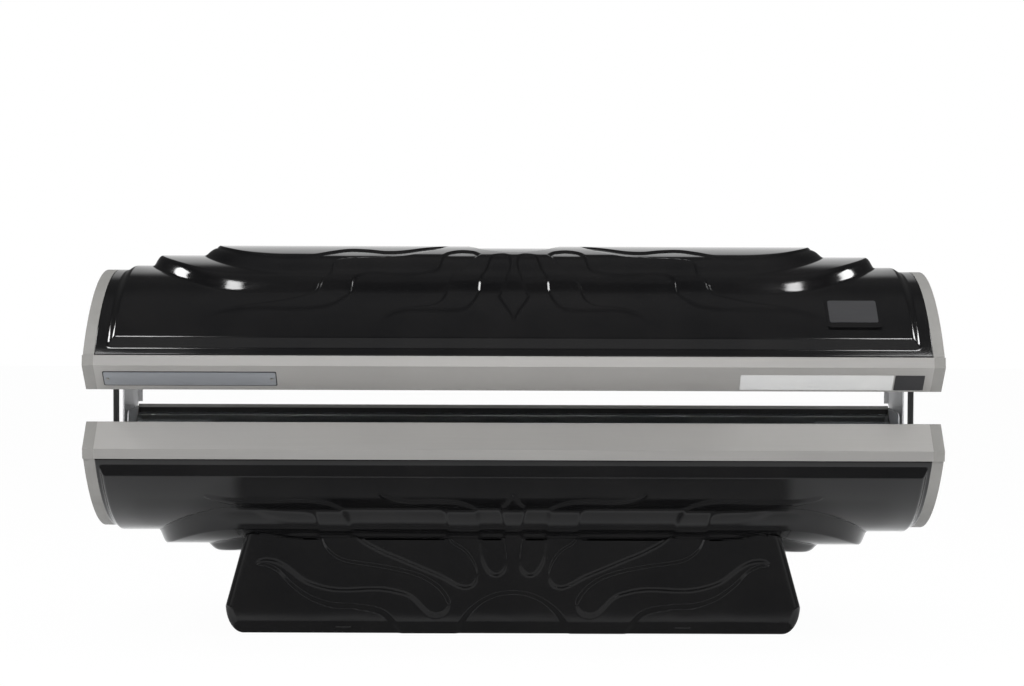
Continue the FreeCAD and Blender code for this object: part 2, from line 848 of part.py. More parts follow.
def rib_points(half, arc_half, arc_radius_inner, flank):
    """A rib from rail to rail: it rests on the foot flanges and carries the reflector."""
    outer = s.arc_radius - s.shell_wall - s.seat_gap * 2
    rest = skirt_depth - s.rail_wall - s.seat_gap
    toe = s.rail_foot_half - s.seat_gap
    right = [
        (arc_half, half.acrylic_depth(arc_radius_inner, arc_half)),
        (s.rail_foot_half - flank, rest - s.rail_skirt),
        (s.rail_foot_half + 18, rest - s.rail_skirt),
        (s.rail_foot_half + 18, rest),
        (toe, rest),
        (toe, half.arc_depth(outer, toe)),
    ]
    left = [(-y, depth) for y, depth in reversed(right)]
    crown = chord_points(half.arc_depth, outer, toe, RIB_CHORDS)
    saddle = chord_points(half.acrylic_depth, arc_radius_inner + s.rib_wall, arc_half, RIB_CHORDS)
    return half.points(right + crown + left + saddle[::-1])


def make_ribs(half):
    name = half.name
    ribs = []
    points = rib_points(half, lip_half - 2, reflector_outer + s.seat_gap, 20)
    for number in (-1, 0, 1):
        ribs.append(slab(
            f"{name}_rib_{number + 1}", s.rib_spacing * number - s.rib_wall / 2, s.rib_wall,
            points,
        ))
    end_low = s.lamp_length / 2 + s.holder_depth
    end_points = rib_points(half, lip_half - 22, acrylic_outer + s.acrylic_wall, 20)
    for side in (-1, 1):
        ribs.append(slab(
            f"{name}_end_rib_{side + 1}", side_start(side, end_low, s.rib_wall), s.rib_wall,
            end_points,
        ))
    finish(group(name + "_rib_set", ribs), name + "_ribs")


def make_reflector(half):
    name = half.name + "_reflector"
    length = s.lamp_length
    sheet_body = arc_sheet(
        half, name, -length / 2, length, reflector_radius, s.sheet_wall, lip_half - 6
    )
    finish(sheet_body, name)
    shields = []
    low = s.lamp_length / 2 - s.holder_depth
    for side in (-1, 1):
        length = half_body - low
        shields.append(arc_sheet(
            half, f"{half.name}_shield_{side + 1}", side_start(side, low, length), length,
            acrylic_outer + s.acrylic_wall - s.sheet_wall - s.seat_gap, s.sheet_wall,
            lip_half - 26,
        ))
    finish(group(half.name + "_shield_set", shields), half.name + "_end_shields")


def make_lamps(half):
    name = half.name
    tubes = []
    holders = []
    for number, (y, z, angle) in enumerate(lamp_places(half)):
        glass = rod(f"{name}_glass_{number}", (-s.lamp_length / 2, y, z), s.lamp_length,
                    s.lamp_radius, "x", LAMP_SIDES)
        hollow = rod(f"{name}_hollow_{number}", (-s.lamp_length / 2 - 1, y, z),
                     s.lamp_length + 2, s.lamp_radius - s.lamp_wall, "x", LAMP_SIDES)
        tubes.append(cut(f"{name}_tube_{number}", glass, hollow))
        for side in (-1, 1):
            holder = doc.addObject("Part::Box", f"{name}_holder_{number}_{side + 1}")
            bind(holder, "Length", s.holder_depth)
            bind(holder, "Width", s.holder_width)
            bind(holder, "Height", s.holder_height)
            turn = angle.value if half.up else -angle.value
            holder.Placement = FreeCAD.Placement(
                FreeCAD.Vector(0, 0, 0), FreeCAD.Rotation(FreeCAD.Vector(1, 0, 0), turn)
            )
            tilt = angle if half.up else -angle
            back = s.holder_width / 2
            drop = s.holder_height / 2
            x_low = side_start(side, s.lamp_length / 2, s.holder_depth)
            bind(holder, "Placement.Base.x", x_low)
            bind(holder, "Placement.Base.y", y - back * cosine(tilt) + drop * sine(tilt))
            bind(holder, "Placement.Base.z", z - back * sine(tilt) - drop * cosine(tilt))
            holders.append(holder)
    finish(group(name + "_lamp_set", tubes), name + "_lamps")
    finish(group(name + "_holder_set", holders), name + "_lampholders")


def make_ballasts(half, corners):
    """Chokes for the tubes, one for each pair."""
    boxes = []
    for number, corner in enumerate(corners):
        boxes.append(box(
            f"{half.name}_ballast_{number}", corner,
            (s.ballast_length, s.ballast_width, s.ballast_height),
        ))
    finish(group(half.name + "_ballast_set", boxes), half.name + "_ballasts")


# ---------------------------------------------------------------- ends


def make_bulkhead(half, side, word):
    name = f"{half.name}_bulkhead_{word}"
    points, arcs = crescent(half, s.cap_wall + s.seat_gap, chords=True)
    x_low = side_start(side, half_body, s.bulkhead_wall)
    finish(slab(name, x_low, s.bulkhead_wall, points, arcs), name)


def make_end_cap(half, side, word):
    """A moulded cap: outer skin and rim, open inwards, with room for the lift arm."""
    name = f"{half.name}_end_cap_{word}"
    points, arcs = crescent(half, Size(0, "0"))
    block = slab(name + "_block", side_start(side, half_body, s.cap_width), s.cap_width,
                 points, arcs)
    points, arcs = crescent(half, s.cap_wall, chords=True)
    hollow = s.cap_width - s.cap_wall + 1
    core = slab(name + "_core", side_start(side, half_body - 1, hollow), hollow, points, arcs)
    cap = cut(name + "_shell", block, core)
    clear = 2
    slot_low = arm_inner - clear
    slot_width = s.bracket_wall + 2 * clear
    tools = []
    if half.up:
        well_low = bulkhead_outer - s.seat_gap
        well_width = cap_skin - well_low
        tools.append(box(
            name + "_well",
            (side_start(side, well_low, well_width), s.arm_front - 10,
             s.mouth_height - s.acrylic_sag + 5),
            (well_width, s.mouth_half + 6 - s.arm_front + 10, s.acrylic_sag),
        ))
        tools.append(box(
            name + "_slot",
            (side_start(side, slot_low, slot_width), s.mouth_half,
             s.mouth_height - skirt_depth + 2),
            (slot_width, s.crease_half - s.mouth_half + 10, skirt_depth + 10),
        ))
    else:
        tools.append(box(
            name + "_slot",
            (side_start(side, slot_low, slot_width), s.arm_front - clear, half.z(-5)),
            (slot_width, s.crease_half - s.arm_front + 10, s.arm_slot_depth),
        ))
    stud_z = s.hinge_z - s.spring_reach if half.up else s.hinge_z + s.spring_reach
    tools.append(rod(
        name + "_stud_hole",
        (side_start(side, cap_skin - 1, s.cap_wall + 2), s.spring_y, stud_z),
        s.cap_wall + 2, s.stud_radius + s.seat_gap * 2, "x", 12,
    ))
    finish(cut(name + "_cut", cap, fuse(name + "_tools", tools)), name)


def make_hinge_bracket(side, word):
    """A horn-shaped plate on the bench's end plate, with a boss that spaces the arm."""
    name = f"hinge_bracket_{word}"
    low = s.mouth_height - s.acrylic_sag + 12
    corner = 18
    points = [
        (s.horn_front, low),
        (s.hinge_y + 12, low),
        (s.hinge_y + 18, s.hinge_z),
        (s.hinge_y + 7, s.horn_top),
        (s.horn_front + corner, s.horn_top),
        (s.horn_front, s.horn_top - corner),
    ]
    plate = slab(
        name + "_plate", side_start(side, bulkhead_outer, s.bracket_wall), s.bracket_wall,
        points, {4: (as_size(corner), True)},
        [((s.hinge_y, s.hinge_z), s.hinge_pin_radius + s.running_fit)],
    )
    boss_low = bulkhead_outer + s.bracket_wall
    boss_length = arm_inner - s.seat_gap - boss_low
    start = (side_start(side, boss_low, boss_length), s.hinge_y, s.hinge_z)
    boss = rod(name + "_boss", start, boss_length, s.hinge_boss_radius, "x", 12)
    bore = rod(name + "_bore", start, boss_length, s.hinge_pin_radius + s.running_fit, "x")
    collar = cut(name + "_collar", boss, bore)
    finish(fuse(name + "_joined", [plate, collar]), name)


def make_hinge_pin(side, word):
    name = f"hinge_pin_{word}"
    length = arm_outer + s.seat_gap - bulkhead_outer
    head = 4
    shank = rod(name + "_shank", (side_start(side, bulkhead_outer, length), s.hinge_y, s.hinge_z),
                length, s.hinge_pin_radius, "x")
    cap_low = arm_outer + s.seat_gap
    button = rod(name + "_head", (side_start(side, cap_low, head), s.hinge_y, s.hinge_z),
                 head, s.hinge_pin_radius + 4, "x", 6)
    finish(fuse(name + "_joined", [shank, button]), name)


def make_lift_arm(side, word):
    """A wide steel plate from the canopy's end down to the hinge, with a rear flange."""
    name = f"lift_arm_{word}"
    lobe = 28
    top = s.hinge_z + s.spring_reach + 22
    flange_low = s.mouth_height + 3
    flange_top = s.mouth_height + s.mouth_gap + 44
    points = [
        (s.arm_front, s.hinge_z - 56),
        (s.arm_front + 30, s.hinge_z - 72),
        (s.hinge_y - 10, s.hinge_z - lobe),
        (s.hinge_y + 14, s.hinge_z - lobe),
        (s.crease_half, flange_low),
        (s.crease_half, flange_top),
        (s.hinge_y + 40, top - 58),
        (s.hinge_y - 20, top),
        (s.arm_front, top),
    ]
    holes = [((s.hinge_y, s.hinge_z), s.hinge_pin_radius + s.running_fit)]
    holes.append(((s.spring_y, s.hinge_z + s.spring_reach), s.stud_radius + s.seat_gap))
    plate = slab(
        name + "_plate", side_start(side, arm_inner, s.bracket_wall), s.bracket_wall,
        points, {0: (as_size(40), True)}, holes,
    )
    width = s.arm_flange
    flange = box(
        name + "_flange",
        (side_start(side, arm_inner - width, width), s.crease_half - s.bracket_wall, flange_low),
        (width, s.bracket_wall, flange_top - flange_low),
    )
    finish(fuse(name + "_joined", [plate, flange]), name)
    spacers = []
    gap = arm_inner - bulkhead_outer
    for number, (back, down) in enumerate(((90, 22), (190, 50))):
        start = (side_start(side, bulkhead_outer, gap), s.arm_front + back, top - down)
        spacers.append(rod(f"{name}_spacer_{number}", start, gap, s.spacer_radius, "x", 6))
    return spacers


def make_stud(side, word, level, z):
    """A shouldered stud from the end plate, through the cap, to the spring's eye."""
    name = f"{level}_stud_{word}"
    tip = spring_x + s.eye_width / 2 + s.seat_gap
    shank_length = tip - bulkhead_outer
    shank = rod(name + "_shank", (side_start(side, bulkhead_outer, shank_length), s.spring_y, z),
                shank_length, s.stud_radius, "x")
    head = rod(name + "_head", (side_start(side, tip, 3), s.spring_y, z), 3, s.eye_radius, "x",
               6)
    return fuse(name, [shank, head])


def eye(name, side, z):
    low = spring_x - s.eye_width / 2
    start = (side_start(side, low, s.eye_width), s.spring_y, z)
    ring = rod(name + "_ring", start, s.eye_width, s.eye_radius, "x", 12)
    hole = rod(name + "_hole", start, s.eye_width, s.stud_radius + s.running_fit, "x")
    return ring, hole


def make_gas_spring(side, word):
    """Cylinder down from the canopy's stud and rod up from the bench's stud."""
    axis_x = spring_x if side > 0 else -spring_x
    low = s.hinge_z - s.spring_reach
    high = s.hinge_z + s.spring_reach
    fitting = 12
    name = f"gas_spring_rod_{word}"
    ring, hole = eye(name, side, low)
    bar = rod(name + "_bar", (axis_x, s.spring_y, low), s.spring_rod_length,
              s.spring_rod_radius, "z")
    piston_length = 12
    piston = rod(
        name + "_piston", (axis_x, s.spring_y, low + s.spring_rod_length - piston_length),
        piston_length, s.spring_bore_radius - s.seat_gap, "z", 6,
    )
    solid = fuse(name + "_joined", [ring, bar, piston])
    finish(cut(name + "_cut", solid, hole), name)
    name = f"gas_spring_cylinder_{word}"
    ring, hole = eye(name, side, high)
    neck = rod(name + "_neck", (axis_x, s.spring_y, high - fitting), fitting,
               s.spring_rod_radius + 1, "z", 6)
    tube_low = high - fitting - s.spring_tube_length
    tube = rod(name + "_tube", (axis_x, s.spring_y, tube_low), s.spring_tube_length,
               s.spring_tube_radius, "z")
    outside = cut(name + "_outside", fuse(name + "_joined", [ring, neck, tube]), hole)
    gland = 12
    bore = rod(name + "_bore", (axis_x, s.spring_y, tube_low + gland),
               s.spring_tube_length - 2 * gland, s.spring_bore_radius, "z", 12)
    mouth = rod(name + "_mouth", (axis_x, s.spring_y, tube_low - 1), gland + 2,
                s.spring_rod_radius + s.seat_gap * 2, "z", 12)
    finish(cut(name + "_cut", outside, fuse(name + "_inside", [bore, mouth])), name)


# ---------------------------------------------------------------- base


def base_half_at(height):
    """Half length of the base at this height above the floor."""
    flare = (s.base_half_foot - s.base_half_top) / (s.base_neck_height - s.base_flare_height)
    return s.base_half_foot - flare * (height - s.base_flare_height)


def base_outline(inset, bottom, top):
    """Front view of the base: flared sides and rounded lower corners."""
    half_foot = base_half_at(s.base_flare_height) - inset
    corner = s.base_corner - inset
    right = [
        (half_foot - corner, bottom),
        (half_foot, bottom + corner),
        (half_foot, s.base_flare_height),
        (base_half_at(top) - inset, top),
    ]
    left = [(-x, z) for x, z in reversed(right)]
    arcs = {0: (corner, True), 6: (corner, True)}
    return right + left, arcs


def base_block(name, inset, bottom, front, corners, size):
    """A block with the outline of the base, with rounded or bevelled front corners."""
    body = new_body(name)
    sketch = plane_sketch(body, "XZ_Plane", name + "_outline", -s.base_half_depth)
    points, arcs = base_outline(inset, bottom, s.base_top)
    add_outline(sketch, points, arcs)
    pad(body, sketch, s.base_half_depth + front, name + "_pad")
    doc.recompute()
    worked = doc.addObject(corners, name + "_worked")
    worked.Base = body
    edges = []
    for number, edge in enumerate(body.Shape.Edges, start=1):
        extent = edge.BoundBox
        upright = extent.ZLength > 20 and extent.YLength < 1e-6
        if upright and extent.YMax < 0 and abs(extent.XMin) > s.base_half_foot.value / 2:
            edges.append((number, size.value, size.value))
    worked.Edges = edges
    return worked


def base_relief():
    """The raised sun on the front: rays round a sunk half disc."""
    edges = []
    last = None
    for points in BASE_EDGES:
        path = [(x, 0, z) for x, z in points]
        if last is not None and last != path[0]:
            edges.append(Part.makeLine(FreeCAD.Vector(*last), FreeCAD.Vector(*path[0])))
        edges += chords_through(path)
        last = path[-1]
    left = Part.Wire(edges)
    right = left.mirror(FreeCAD.Vector(0, 0, 0), FreeCAD.Vector(1, 0, 0))
    first = (BASE_EDGES[0][0][0], 0, BASE_EDGES[0][0][1])
    top_line = Part.makeLine(FreeCAD.Vector(*last), FreeCAD.Vector(-last[0], 0, last[2]))
    foot_line = Part.makeLine(FreeCAD.Vector(*first), FreeCAD.Vector(-first[0], 0, first[2]))
    loop = Part.sortEdges(left.Edges + right.Edges + [top_line, foot_line])[0]
    face = Part.Face(Part.Wire(loop))
    front = -s.base_half_depth.value
    face.translate(FreeCAD.Vector(0, front + 1, 0))
    rays = doc.addObject("Part::Feature", "base_rays")
    rays.Shape = face.extrude(FreeCAD.Vector(0, -s.base_relief.value - 1, 0))
    disc = rod("base_disc", (0, -s.base_half_depth * 1.2, -s.base_sun_drop),
               s.base_half_depth, s.base_sun_radius, "y")
    return cut("base_sun", rays, disc)


def make_base_cover():
    """Moulded cover round the base: front and sides, open to the rear, top and floor."""
    block = base_block("base_block", Size(0, "0"), s.base_bottom, s.base_half_depth,
                       "Part::Fillet", s.base_edge)
    core = base_block("base_core", s.base_wall, s.base_bottom - s.base_corner,
                      s.base_half_depth - s.base_wall, "Part::Chamfer",
                      (s.base_edge - s.base_wall) * 0.7)
    hollow = cut("base_hollow", fuse("base_with_rays", [block, base_relief()]), core)
    seat = shell_form(bench, "seat", s.seat_gap)
    above = box(
        "base_above",
        (-s.base_half_foot - 10, -s.base_half_depth - 20, bench.axis_z() - s.arc_radius),
        (s.base_half_foot * 2 + 20, s.base_half_depth * 2 + 40, s.arc_radius),
    )
    rest = 8
    below = box(
        "base_below",
        (-s.base_half_foot - 10, -s.base_half_depth - 20, s.base_bottom - s.arc_radius),
        (s.base_half_foot * 2 + 20, s.base_half_depth * 2 + 40, s.arc_radius),
    )
    slope = new_body("base_bevel")
    sketch = plane_sketch(slope, "YZ_Plane", "base_bevel_outline", -s.base_half_foot - 10)
    lean = s.base_bevel_depth / s.base_bevel
    foot = -s.base_half_depth + s.base_bevel_depth
    add_outline(sketch, [
        (foot + rest * lean, s.base_bottom - rest),
        (foot - s.base_bevel_depth * 2, s.base_bottom + s.base_bevel * 2),
        (foot - s.base_bevel_depth * 4, s.base_bottom + s.base_bevel * 2),
        (foot - s.base_bevel_depth * 4, s.base_bottom - rest),
    ])
    pad(slope, sketch, s.base_half_foot * 2 + 20, "base_bevel_pad")
    trimmings = fuse("base_trimmings", [seat, above, below, slope])
    finish(cut("base_cut", hollow, trimmings), "base_cover")


def square_tube(name, corner, size, along):
    """A square tube: length along 'x' or 'y', hollow from end to end."""
    outer = box(name + "_outer", corner, size)
    wall = s.tube_wall
    inner_corner = [c + wall for c in corner]
    inner_size = [as_size(d) - 2 * wall for d in size]
    index = "xyz".index(along)
    inner_corner[index] = corner[index] - 1
    inner_size[index] = as_size(size[index]) + 2
    return cut(name, outer, box(name + "_inner", inner_corner, inner_size))


def make_base_frame():
    """Square-tube frame with two cradle plates under the bench."""
    low = s.foot_height
    tube = s.tube_size
    pieces = []
    rear_face = s.base_half_depth - s.panel_wall - s.seat_gap
    front_face = s.base_half_depth - s.base_wall - s.seat_gap
    for side in (-1, 1):
        x_low = s.rib_spacing * side - tube / 2
        pieces.append(square_tube(
            f"cross_tube_{side + 1}", [x_low, -front_face, low],
            [tube, front_face + rear_face, tube], "y",
        ))
        y_low = s.foot_y * side - tube / 2
        for part_word, start, end in (
            ("left", -s.foot_x - tube, -s.rib_spacing - tube / 2),
            ("middle", -s.rib_spacing + tube / 2, s.rib_spacing - tube / 2),
            ("right", s.rib_spacing + tube / 2, s.foot_x + tube),
        ):
            pieces.append(square_tube(
                f"long_tube_{part_word}_{side + 1}", [start, y_low, low],
                [end - start, tube, tube], "x",
            ))
        top_radius = (s.arc_radius + s.field_step + s.terrace_one_step + s.terrace_two_step
                      + s.seat_gap)
        top = bench.z(bench.arc_depth(top_radius, s.cradle_half))
        points = [
            (-s.cradle_half, low + tube),
            (s.cradle_half, low + tube),
            (s.cradle_half, top),
            (-s.cradle_half, top),
        ]
        pieces.append(slab(
            f"cradle_{side + 1}", s.rib_spacing * side - s.cradle_wall / 2, s.cradle_wall,
            points, {2: (top_radius, False)},
        ))
    finish(fuse("base_frame_joined", pieces), "base_frame")


def make_feet():
    feet = []
    for x_side in (-1, 1):
        for y_side in (-1, 1):
            name = f"foot_{x_side + 1}_{y_side + 1}"
            start = (s.foot_x * x_side, s.foot_y * y_side, 0)
            feet.append(rod(name, start, s.foot_height, s.foot_radius, "z", 12))
    finish(group("foot_set", feet), "levelling_feet")


def make_rear_panel():
    """Sheet-metal panel, punched with straight slots for the fans and for fresh air."""
    body = new_body("rear_panel")
    sketch = plane_sketch(body, "XZ_Plane", "rear_panel_outline", -s.base_half_depth)
    top = bench.z(bench.arc_depth(
        s.arc_radius + s.field_step + s.terrace_one_step + s.terrace_two_step + s.seat_gap,
        s.base_half_depth - s.panel_wall,
    )) - 4
    points, arcs = base_outline(s.base_wall + s.seat_gap, s.base_bottom + 6, top)
    add_outline(sketch, points, arcs)
    pad(body, sketch, s.panel_wall, "rear_panel_pad")
    slots = plane_sketch(body, "XZ_Plane", "rear_panel_slots", -s.base_half_depth)
    for row in range(-3, 4):
        reach = root(s.fan_bore * s.fan_bore - s.slot_pitch * s.slot_pitch * row**2) - 6
        low = s.fan_z + s.slot_pitch * row - s.slot_height / 2
        for centre, half_width in ((-s.fan_x, reach), (s.fan_x, reach), (0, s.fan_bore)):
            left = centre - half_width
            right = centre + half_width
            add_outline(slots, [(left, low), (right, low), (right, low + s.slot_height),
                                (left, low + s.slot_height)])
    doc.recompute()
    pocket(body, slots, s.panel_wall * 2, "rear_panel_pocket", reverse=True)
    return finish(body, "base_rear_panel")


def make_fans():
    """Two axial fans behind the rear panel: frame with its motor, and impeller."""
    frames = []
    face = s.base_half_depth - s.panel_wall
    blade_depth = s.fan_depth - s.motor_depth - 8
    for side, word in ((-1, "left"), (1, "right")):
        x = s.fan_x * side
        name = f"fan_{word}"
        low = face - s.fan_depth
        outer = box(name + "_outer", (x - s.fan_frame / 2, low, s.fan_z - s.fan_frame / 2),
                    (s.fan_frame, s.fan_depth, s.fan_frame))
        bore = rod(name + "_bore", (x, low - 1, s.fan_z), s.fan_depth + 2, s.fan_bore, "y")
        ring = cut(name + "_ring", outer, bore)
        motor_low = face - s.motor_depth
        motor = rod(name + "_motor", (x, motor_low, s.fan_z), s.motor_depth - 1,
                    s.fan_hub - 2, "y", 12)
        shaft_length = blade_depth + 4
        shaft = rod(name + "_shaft", (x, motor_low - shaft_length, s.fan_z), shaft_length,
                    s.fan_shaft, "y", 12)
        strut = box(name + "_strut", (x - s.fan_bore - 2, motor_low + 4, s.fan_z - 4),
                    (s.fan_bore * 2 + 4, 5, 8))
        frames.append(fuse(name + "_frame", [ring, motor, shaft, strut]))
        finish(impeller(name, x, motor_low - 2 - blade_depth, blade_depth),
               f"fan_impeller_{word}")
    finish(group("fan_frame_set", frames), "fan_frames")


def impeller(name, x, low, depth):
    """Hub and pitched blades."""
    blades = []
    count = 5
    for number in range(count):
        blade = doc.addObject("Part::Box", f"{name}_blade_{number}")
        bind(blade, "Length", s.fan_tip - 1)
        blade.Width = depth.value
        blade.Height = 2.5
        turn = FreeCAD.Rotation(FreeCAD.Vector(0, 1, 0), 360 / count * number)
        pitch = FreeCAD.Rotation(FreeCAD.Vector(1, 0, 0), 35)
        shift = FreeCAD.Vector(0, -depth.value / 2, -1.25)
        centre = FreeCAD.Vector(x.value, low.value + depth.value / 2, s.fan_z.value)
        blade.Placement = FreeCAD.Placement(
            centre + turn.multVec(pitch.multVec(shift)), turn.multiply(pitch)
        )
        blades.append(blade)
    hub = rod(name + "_hub", (x, low, s.fan_z), depth, s.fan_hub, "y", 15)
    solid = fuse(name + "_wheel", blades + [hub])
    hole = rod(name + "_hub_hole", (x, low - 1, s.fan_z), depth + 2,
               s.fan_shaft + s.running_fit, "y")
    return cut(name + "_impeller", solid, hole)


def make_electrics():
    """Ballast tray and supply inlet inside the base."""
    tray_top = s.foot_height + s.tube_size
    tray = box("tray_plate", (-s.rib_spacing + 60, -s.foot_y - 10, tray_top),
               (s.rib_spacing * 2 - 120, s.foot_y * 2 + 20, 2))
    finish(tray, "ballast_tray")
    corners = []
    for column in (-1, 0, 1):
        for row_y in (-110, -20):
            corners.append((
                s.ballast_length * 1.12 * column - s.ballast_length / 2,
                as_size(row_y) + 0,
                tray_top + 2,
            ))
    make_ballasts(bench, corners)
    start_y = s.base_half_depth
    inlet_x = s.base_half_top - 90
    flange = box("inlet_flange", (inlet_x - 30, start_y, s.tube_size + 14), (60, 3, 44))
    nut = rod("inlet_nut", (inlet_x, start_y + 3, s.tube_size + 36), 16, 15, "y", 6)
    bore = rod("inlet_bore", (inlet_x, start_y + 8, s.tube_size + 36), 20, 7, "y", 12)
    finish(cut("inlet_cut", fuse("inlet_joined", [flange, nut]), bore), "power_inlet")


def make_stop_switch():
    """Stop switch on the inner side of the canopy's front rail: housing and button."""
    depth = s.gasket_depth
    low_z = canopy.z(1.5)
    block = box("switch_block", (s.switch_x, -lip_half, low_z),
                (s.switch_width, depth, s.switch_height))
    centre = (s.switch_x + s.switch_width / 2, -lip_half, low_z + s.switch_height / 2)
    well_start = (centre[0], -lip_half + 4, centre[2])
    well = rod("switch_well", well_start, depth, s.button_radius + s.seat_gap, "y")
    finish(cut("switch_cut", block, well), "stop_switch_housing")
    foot = 4 + s.button_travel + s.seat_gap
    stem = rod("button_stem", (centre[0], -lip_half + foot, centre[2]),
               depth - foot + s.button_height, s.button_radius, "y")
    finish(stem, "stop_button")


# ---------------------------------------------------------------- build

for half in (bench, canopy):
    make_shell(half)
    make_rails(half)
    make_acrylic(half)
    make_ribs(half)
    make_reflector(half)
    make_lamps(half)

arm_spacers = []
lower_studs = []
upper_studs = []
for side, word in ((-1, "left"), (1, "right")):
    for half in (bench, canopy):
        make_bulkhead(half, side, word)
        make_end_cap(half, side, word)
    make_hinge_bracket(side, word)
    make_hinge_pin(side, word)
    arm_spacers += make_lift_arm(side, word)
    make_gas_spring(side, word)
    lower_studs.append(make_stud(side, word, "lower", s.hinge_z - s.spring_reach))
    upper_studs.append(make_stud(side, word, "upper", s.hinge_z + s.spring_reach))
finish(group("spacer_set", arm_spacers), "lift_arm_spacers")
finish(group("lower_stud_set", lower_studs), "gas_spring_lower_studs")
finish(group("upper_stud_set", upper_studs), "gas_spring_upper_studs")

make_base_cover()
make_base_frame()
make_feet()
make_rear_panel()
make_fans()
make_electrics()
canopy_ballast_z = canopy.z(reflector_outer - acrylic_axis + 14)
canopy_corners = []
for rib in (-1, 0, 1):
    rib_x = s.rib_spacing * rib
    canopy_corners.append((rib_x + s.rib_wall / 2, -s.ballast_width * 1.6, canopy_ballast_z))
    canopy_corners.append((
        rib_x - s.rib_wall / 2 - s.ballast_length, s.ballast_width * 0.6, canopy_ballast_z,
    ))
make_ballasts(canopy, canopy_corners)
make_stop_switch()

doc.recompute()
for thing in doc.Objects:
    if "Invalid" in thing.State or "Error" in thing.State:
        raise RuntimeError(f"{thing.Label} failed: {thing.State}")
for part in parts:
    if part.Shape.isNull() or not part.Shape.isValid():
        raise RuntimeError(f"{part.Label} has no valid shape")
os.makedirs("parts", exist_ok=True)
for part in parts:
    part.Shape.exportStep(f"parts/{part.Label}.step")
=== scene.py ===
import json
import math

import bmesh
import bpy
import numpy as np
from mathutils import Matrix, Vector


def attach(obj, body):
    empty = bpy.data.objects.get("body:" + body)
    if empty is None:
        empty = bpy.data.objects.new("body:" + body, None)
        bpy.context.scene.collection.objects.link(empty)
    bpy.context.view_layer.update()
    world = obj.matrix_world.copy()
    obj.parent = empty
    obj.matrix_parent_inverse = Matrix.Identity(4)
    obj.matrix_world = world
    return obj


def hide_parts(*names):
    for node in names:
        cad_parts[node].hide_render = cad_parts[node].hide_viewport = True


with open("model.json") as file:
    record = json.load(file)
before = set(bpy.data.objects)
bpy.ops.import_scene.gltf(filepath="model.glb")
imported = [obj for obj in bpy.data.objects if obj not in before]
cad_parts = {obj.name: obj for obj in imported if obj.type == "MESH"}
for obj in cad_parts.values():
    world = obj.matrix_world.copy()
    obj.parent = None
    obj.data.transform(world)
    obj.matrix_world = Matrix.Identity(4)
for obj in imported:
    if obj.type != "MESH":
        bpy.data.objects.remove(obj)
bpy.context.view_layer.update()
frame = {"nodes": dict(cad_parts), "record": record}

scene = bpy.context.scene
scene.view_settings.view_transform = "Standard"

# ---------------------------------------------------------------- sizes, in metres

HALF_BODY = 1.076
BAND = 0.494
FIELD = BAND + 0.0115
BENCH_MOUTH = 0.575
CANOPY_MOUTH = 0.659
AXIS_DEPTH = 0.1885
CANOPY_AXIS = CANOPY_MOUTH - AXIS_DEPTH
SHELL_EDGE = 0.0913
SHELL_WALL = 0.0035
RELIEF = 0.0052
SUN_RADIUS = 0.120
SUN_BLEND = 0.004            # half width of the slope round the disc
RAY_BLEND = 0.0042           # half width of the slope along a ray's edge
FIELD_SIDES = (0.3935, 0.3865)
SHELL_STEP = 0.0027
INNER_EVERY = 4              # the inner skin keeps one row of points in this many
SHARP_EDGE = 35              # degrees
RAIL_ROUND, CAP_ROUND = (0.0012, 2), (0.0025, 3)

# Terraces, the first and then the second: radius, draft of the wall in degrees, and the plan
# at the crown: half length, half width, end of the straight side, tip radius.
TERRACES = {
    "canopy": [(FIELD + 0.028, 29, (0.978, 0.216, 0.700, 0.168)),
               (FIELD + 0.0497, 47, (0.838, 0.165, 0.600, 0.141))],
    "bench": [(FIELD + 0.036, 22, (0.963, 0.246, 0.720, 0.175)),
              (FIELD + 0.057, 41, (0.833, 0.193, 0.560, 0.120))],
}
TERRACE_CREST, TERRACE_FOOT = 0.014, 0.005
# Where the lifted field starts and where it is full, from the middle.
FIELD_ENDS = {"canopy": (1.049, 1.024), "bench": (1.070, 1.055)}

MM = 1000
# Edges of the sun rays, in millimetres: smooth curves from tip to valley to tip.
# Canopy, in plan: one quarter, from the tip of the side ray to the tip of the front one.
CANOPY_EDGES = [
    [(-805, 0), (-790, -55), (-756, -101), (-707, -139), (-642, -162), (-579, -166),
     (-529, -156), (-482, -122), (-440, -95), (-394, -102), (-343, -124), (-293, -114),
     (-231, -62), (-181, -12)],
    [(-181, -12), (-205, -85), (-278, -150), (-341, -162), (-403, -166), (-453, -171),
     (-474, -180), (-481, -200), (-484, -224), (-502, -232), (-518, -254), (-557, -272),
     (-605, -287), (-672, -300), (-732, -312), (-802, -337)],
    [(-802, -337), (-761, -325), (-701, -316), (-639, -314), (-578, -316), (-517, -312),
     (-475, -301), (-446, -277), (-427, -252), (-421, -234), (-387, -220), (-338, -221),
     (-275, -223), (-226, -216), (-202, -205), (-194, -190), (-188, -165), (-172, -130),
     (-141, -108), (-110, -120), (-93, -150)],
    [(-93, -150), (-120, -191), (-157, -222), (-173, -246), (-188, -285), (-212, -302),
     (-259, -308), (-302, -316), (-346, -344)],
    [(-346, -344), (-302, -325), (-271, -319), (-210, -319), (-150, -319), (-124, -311),
     (-106, -289), (-93, -256), (-88, -234), (-71, -198), (-58, -160), (-44, -149),
     (-27, -146), (-12, -160)],
    [(-12, -160), (-9, -190), (-21, -235), (-38, -268), (-28, -294), (-10, -325), (0, -346)],
]
